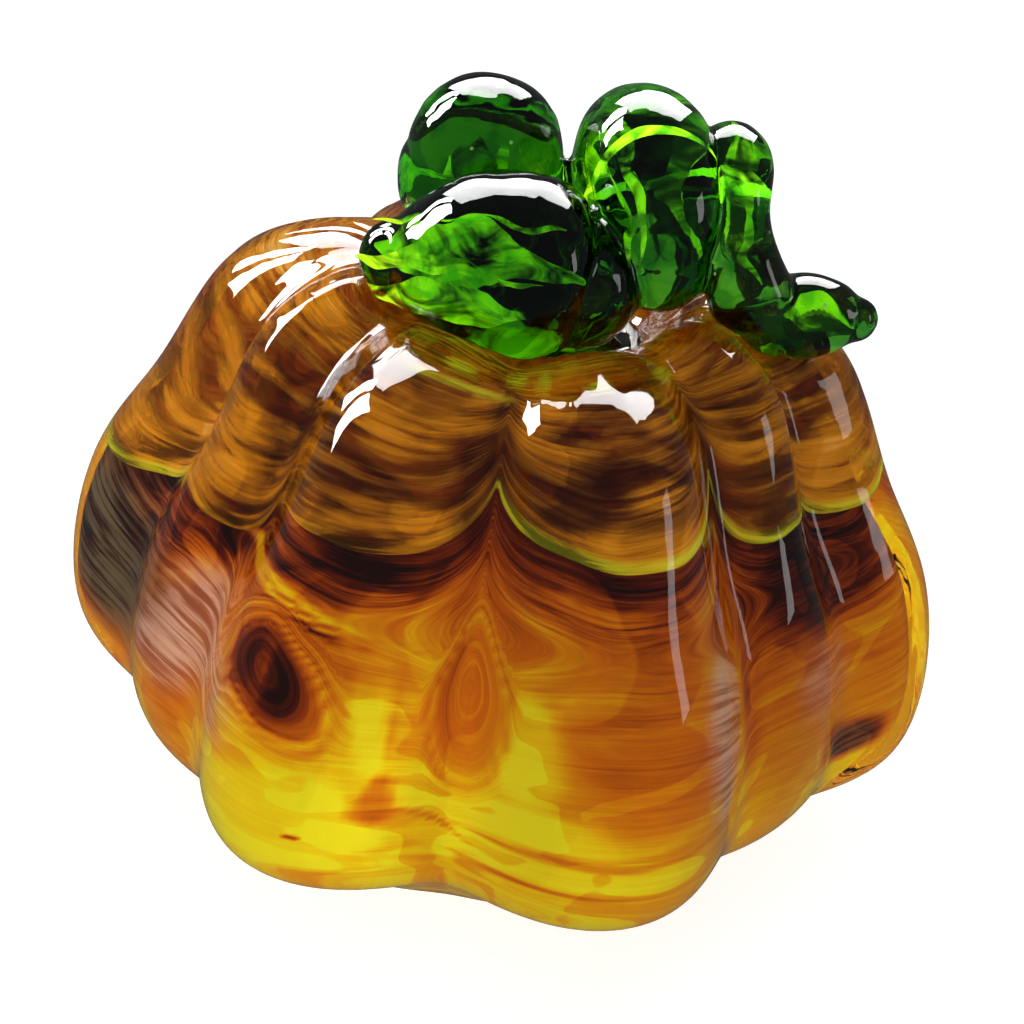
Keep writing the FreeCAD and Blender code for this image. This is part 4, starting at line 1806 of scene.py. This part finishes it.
@dataclass
class Studio:
    """Pale paper, soft lamps and the camera. Lengths are in metres, angles in degrees."""

    target: Vector
    lamps: tuple = (
        Lamp("overhead_softbox", (-0.05, 0.62, 0.78), 0.55, (0.62, 0.36), 12.5),
        Lamp("window_left", (-0.78, 0.22, 0.50), 0.60, (0.15, 0.38), 34.0),
        Lamp("window_left_far", (-0.66, 0.46, 0.52), 0.60, (0.08, 0.36), 34.0),
        Lamp("side_right", (0.92, -0.10, 0.26), 0.60, (0.10, 0.20), 2.6),
        Lamp("front_fill", (-0.25, -0.75, 0.62), 0.90, (0.8, 0.6), 1.5, fill=True),
        Lamp("top_fill", (0.0, 0.1, 1.0), 0.80, (0.8, 0.8), 1.3, fill=True))
    air: tuple = (0.9, 0.95, 1.0)
    air_light: float = 0.10
    distance: float = 0.2667
    elevation: float = 25.21
    roll: float = 7.27
    lens: float = 87.7
    shift: tuple = (0.0065, 0.0335)
    paper_reach: float = 3.0
    paper_height: float = 4.0
    floor_glow: float = 1.9
    backdrop_glow: float = 2.2

    def _stand(self, lamp: Lamp) -> None:
        """Adds one lamp; none of them shows to the camera or through the glass.

        Args:
            lamp: the lamp.
        """
        data = bpy.data.lights.new(lamp.name, "AREA")
        data.shape = "RECTANGLE"
        data.size, data.size_y = lamp.size
        data.energy = lamp.radiance * math.pi * lamp.size[0] * lamp.size[1]
        thing = new_object(lamp.name, data)
        way = Vector(lamp.toward).normalized()
        thing.location = self.target + way * lamp.away
        thing.rotation_euler = way.to_track_quat("Z", "Y").to_euler()
        thing.visible_camera = False
        thing.visible_transmission = False
        thing.visible_diffuse = lamp.fill
        thing.visible_glossy = not lamp.fill

    def lights(self) -> None:
        """Adds the lamps and the room's even light."""
        for lamp in self.lamps:
            self._stand(lamp)
        world = bpy.data.worlds.new("room")
        bpy.context.scene.world = world
        world.use_nodes = True
        bench = Bench(world.node_tree)
        air = bench.node("ShaderNodeBackground", None,
                         {0: (*self.air, 1.0), 1: self.air_light})
        bench.node("ShaderNodeOutputWorld", None, {0: air.outputs[0]})

    def paper(self) -> None:
        """Adds the floor and the backdrop."""
        wide, tall = self.paper_reach, self.paper_height
        front, back = ((-wide, -wide, 0), (wide, -wide, 0)), ((wide, wide, 0), (-wide, wide, 0))
        above = ((wide, wide, tall), (-wide, wide, tall))
        for name, corners, glow in (
                ("pale_floor", front + back, self.floor_glow),
                ("pale_backdrop", back[::-1] + above, self.backdrop_glow)):
            mesh = bpy.data.meshes.new(name)
            mesh.from_pydata(corners, [], [(0, 1, 2, 3)])
            mesh.materials.append(StudioPaper(name, glow).material())
            sheet = new_object(name, mesh)
            sheet.visible_glossy = False
            sheet.visible_diffuse = False

    def camera(self) -> None:
        """Adds the camera and makes it the scene's own."""
        data = bpy.data.cameras.new("camera")
        data.lens, data.sensor_width = self.lens, 36.0
        data.shift_x, data.shift_y = self.shift
        data.clip_start = 0.01
        camera = new_object("camera", data)
        tilt = math.radians(self.elevation)
        offset = Vector((0.0, -math.cos(tilt), math.sin(tilt))) * self.distance
        turned = Matrix.Rotation(math.radians(90.0 - self.elevation), 4, "X") \
            @ Matrix.Rotation(math.radians(self.roll), 4, "Z")
        camera.matrix_world = Matrix.Translation(self.target + offset) @ turned
        bpy.context.scene.camera = camera


# ---- the figure ----------------------------------------------------------------------
def dress_node(name: str, material: bpy.types.Material) -> None:
    """Gives a kept CAD node a better material.

    Args:
        name: the node's name.
        material: the material.
    """
    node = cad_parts[name]
    node.data.materials.clear()
    node.data.materials.append(material)
    LOG.info("dressed %s", name)


def mount(piece: bpy.types.Object, slot: Slot, *stands_for: str) -> None:
    """Rides a finished piece on the figure and hides any CAD nodes that it stands for.

    Args:
        piece: the finished piece.
        slot: its material slot; not used.
        stands_for: CAD nodes that it replaces.
    """
    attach(piece, "root")
    if stands_for:
        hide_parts(*stands_for)
    LOG.info("built %s: %d faces", piece.name, len(piece.data.polygons))


def main() -> None:
    """Builds every piece, the studio and the camera."""
    logging.basicConfig(level=logging.INFO)
    low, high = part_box("pontil_button")
    axis = Vector(((low.x + high.x) / 2, (low.y + high.y) / 2, 0.0))
    form = RibbedForm(axis=axis)
    tree = form.tree()
    settings = {"Rib depth": 1.0, "Front sag": form.front_sag * MM, "Wrinkle depth": 0.0,
                "Axis": axis}
    mount(Casing(form).build(tree, {**settings, "Wrinkle depth": WRINKLE_DEPTH * MM}),
          Slot.CLEAR, "clear_casing", "inner_gather")
    mount(AmberCoat(form).build(tree, settings), Slot.AMBER, "amber_layer")
    mount(ColourCoat(form).build(tree, settings), Slot.YELLOW, "yellow_layer")
    stem = Stem(form)
    mount(stem.build(), Slot.GREEN, "stem_front_lobe", "stem_back_lobe", "stem_middle_loop",
          "stem_end_loop", "stem_tail")
    for veil in Veils(stem).build():
        mount(veil, Slot.GREEN)
    mount(Seeds().build(stem.joined("stem_seeds", STEM_ROPES, SEED_SKIN)), Slot.GREEN)
    dress_node("stem_seal", ClearGlass("green_seal_glass", srgb(90, 150, 30),
                                       srgb(60, 110, 30), srgb(90, 150, 40)).material())
    dress_node("pontil_button", ClearGlass("button_glass").material())
    studio = Studio(Vector((axis.x, axis.y, AIM_HEIGHT * MM)))
    studio.lights()
    studio.paper()
    studio.camera()
    scene = bpy.context.scene
    scene.view_settings.view_transform = "Standard"


if __name__ == "__main__":
    main()
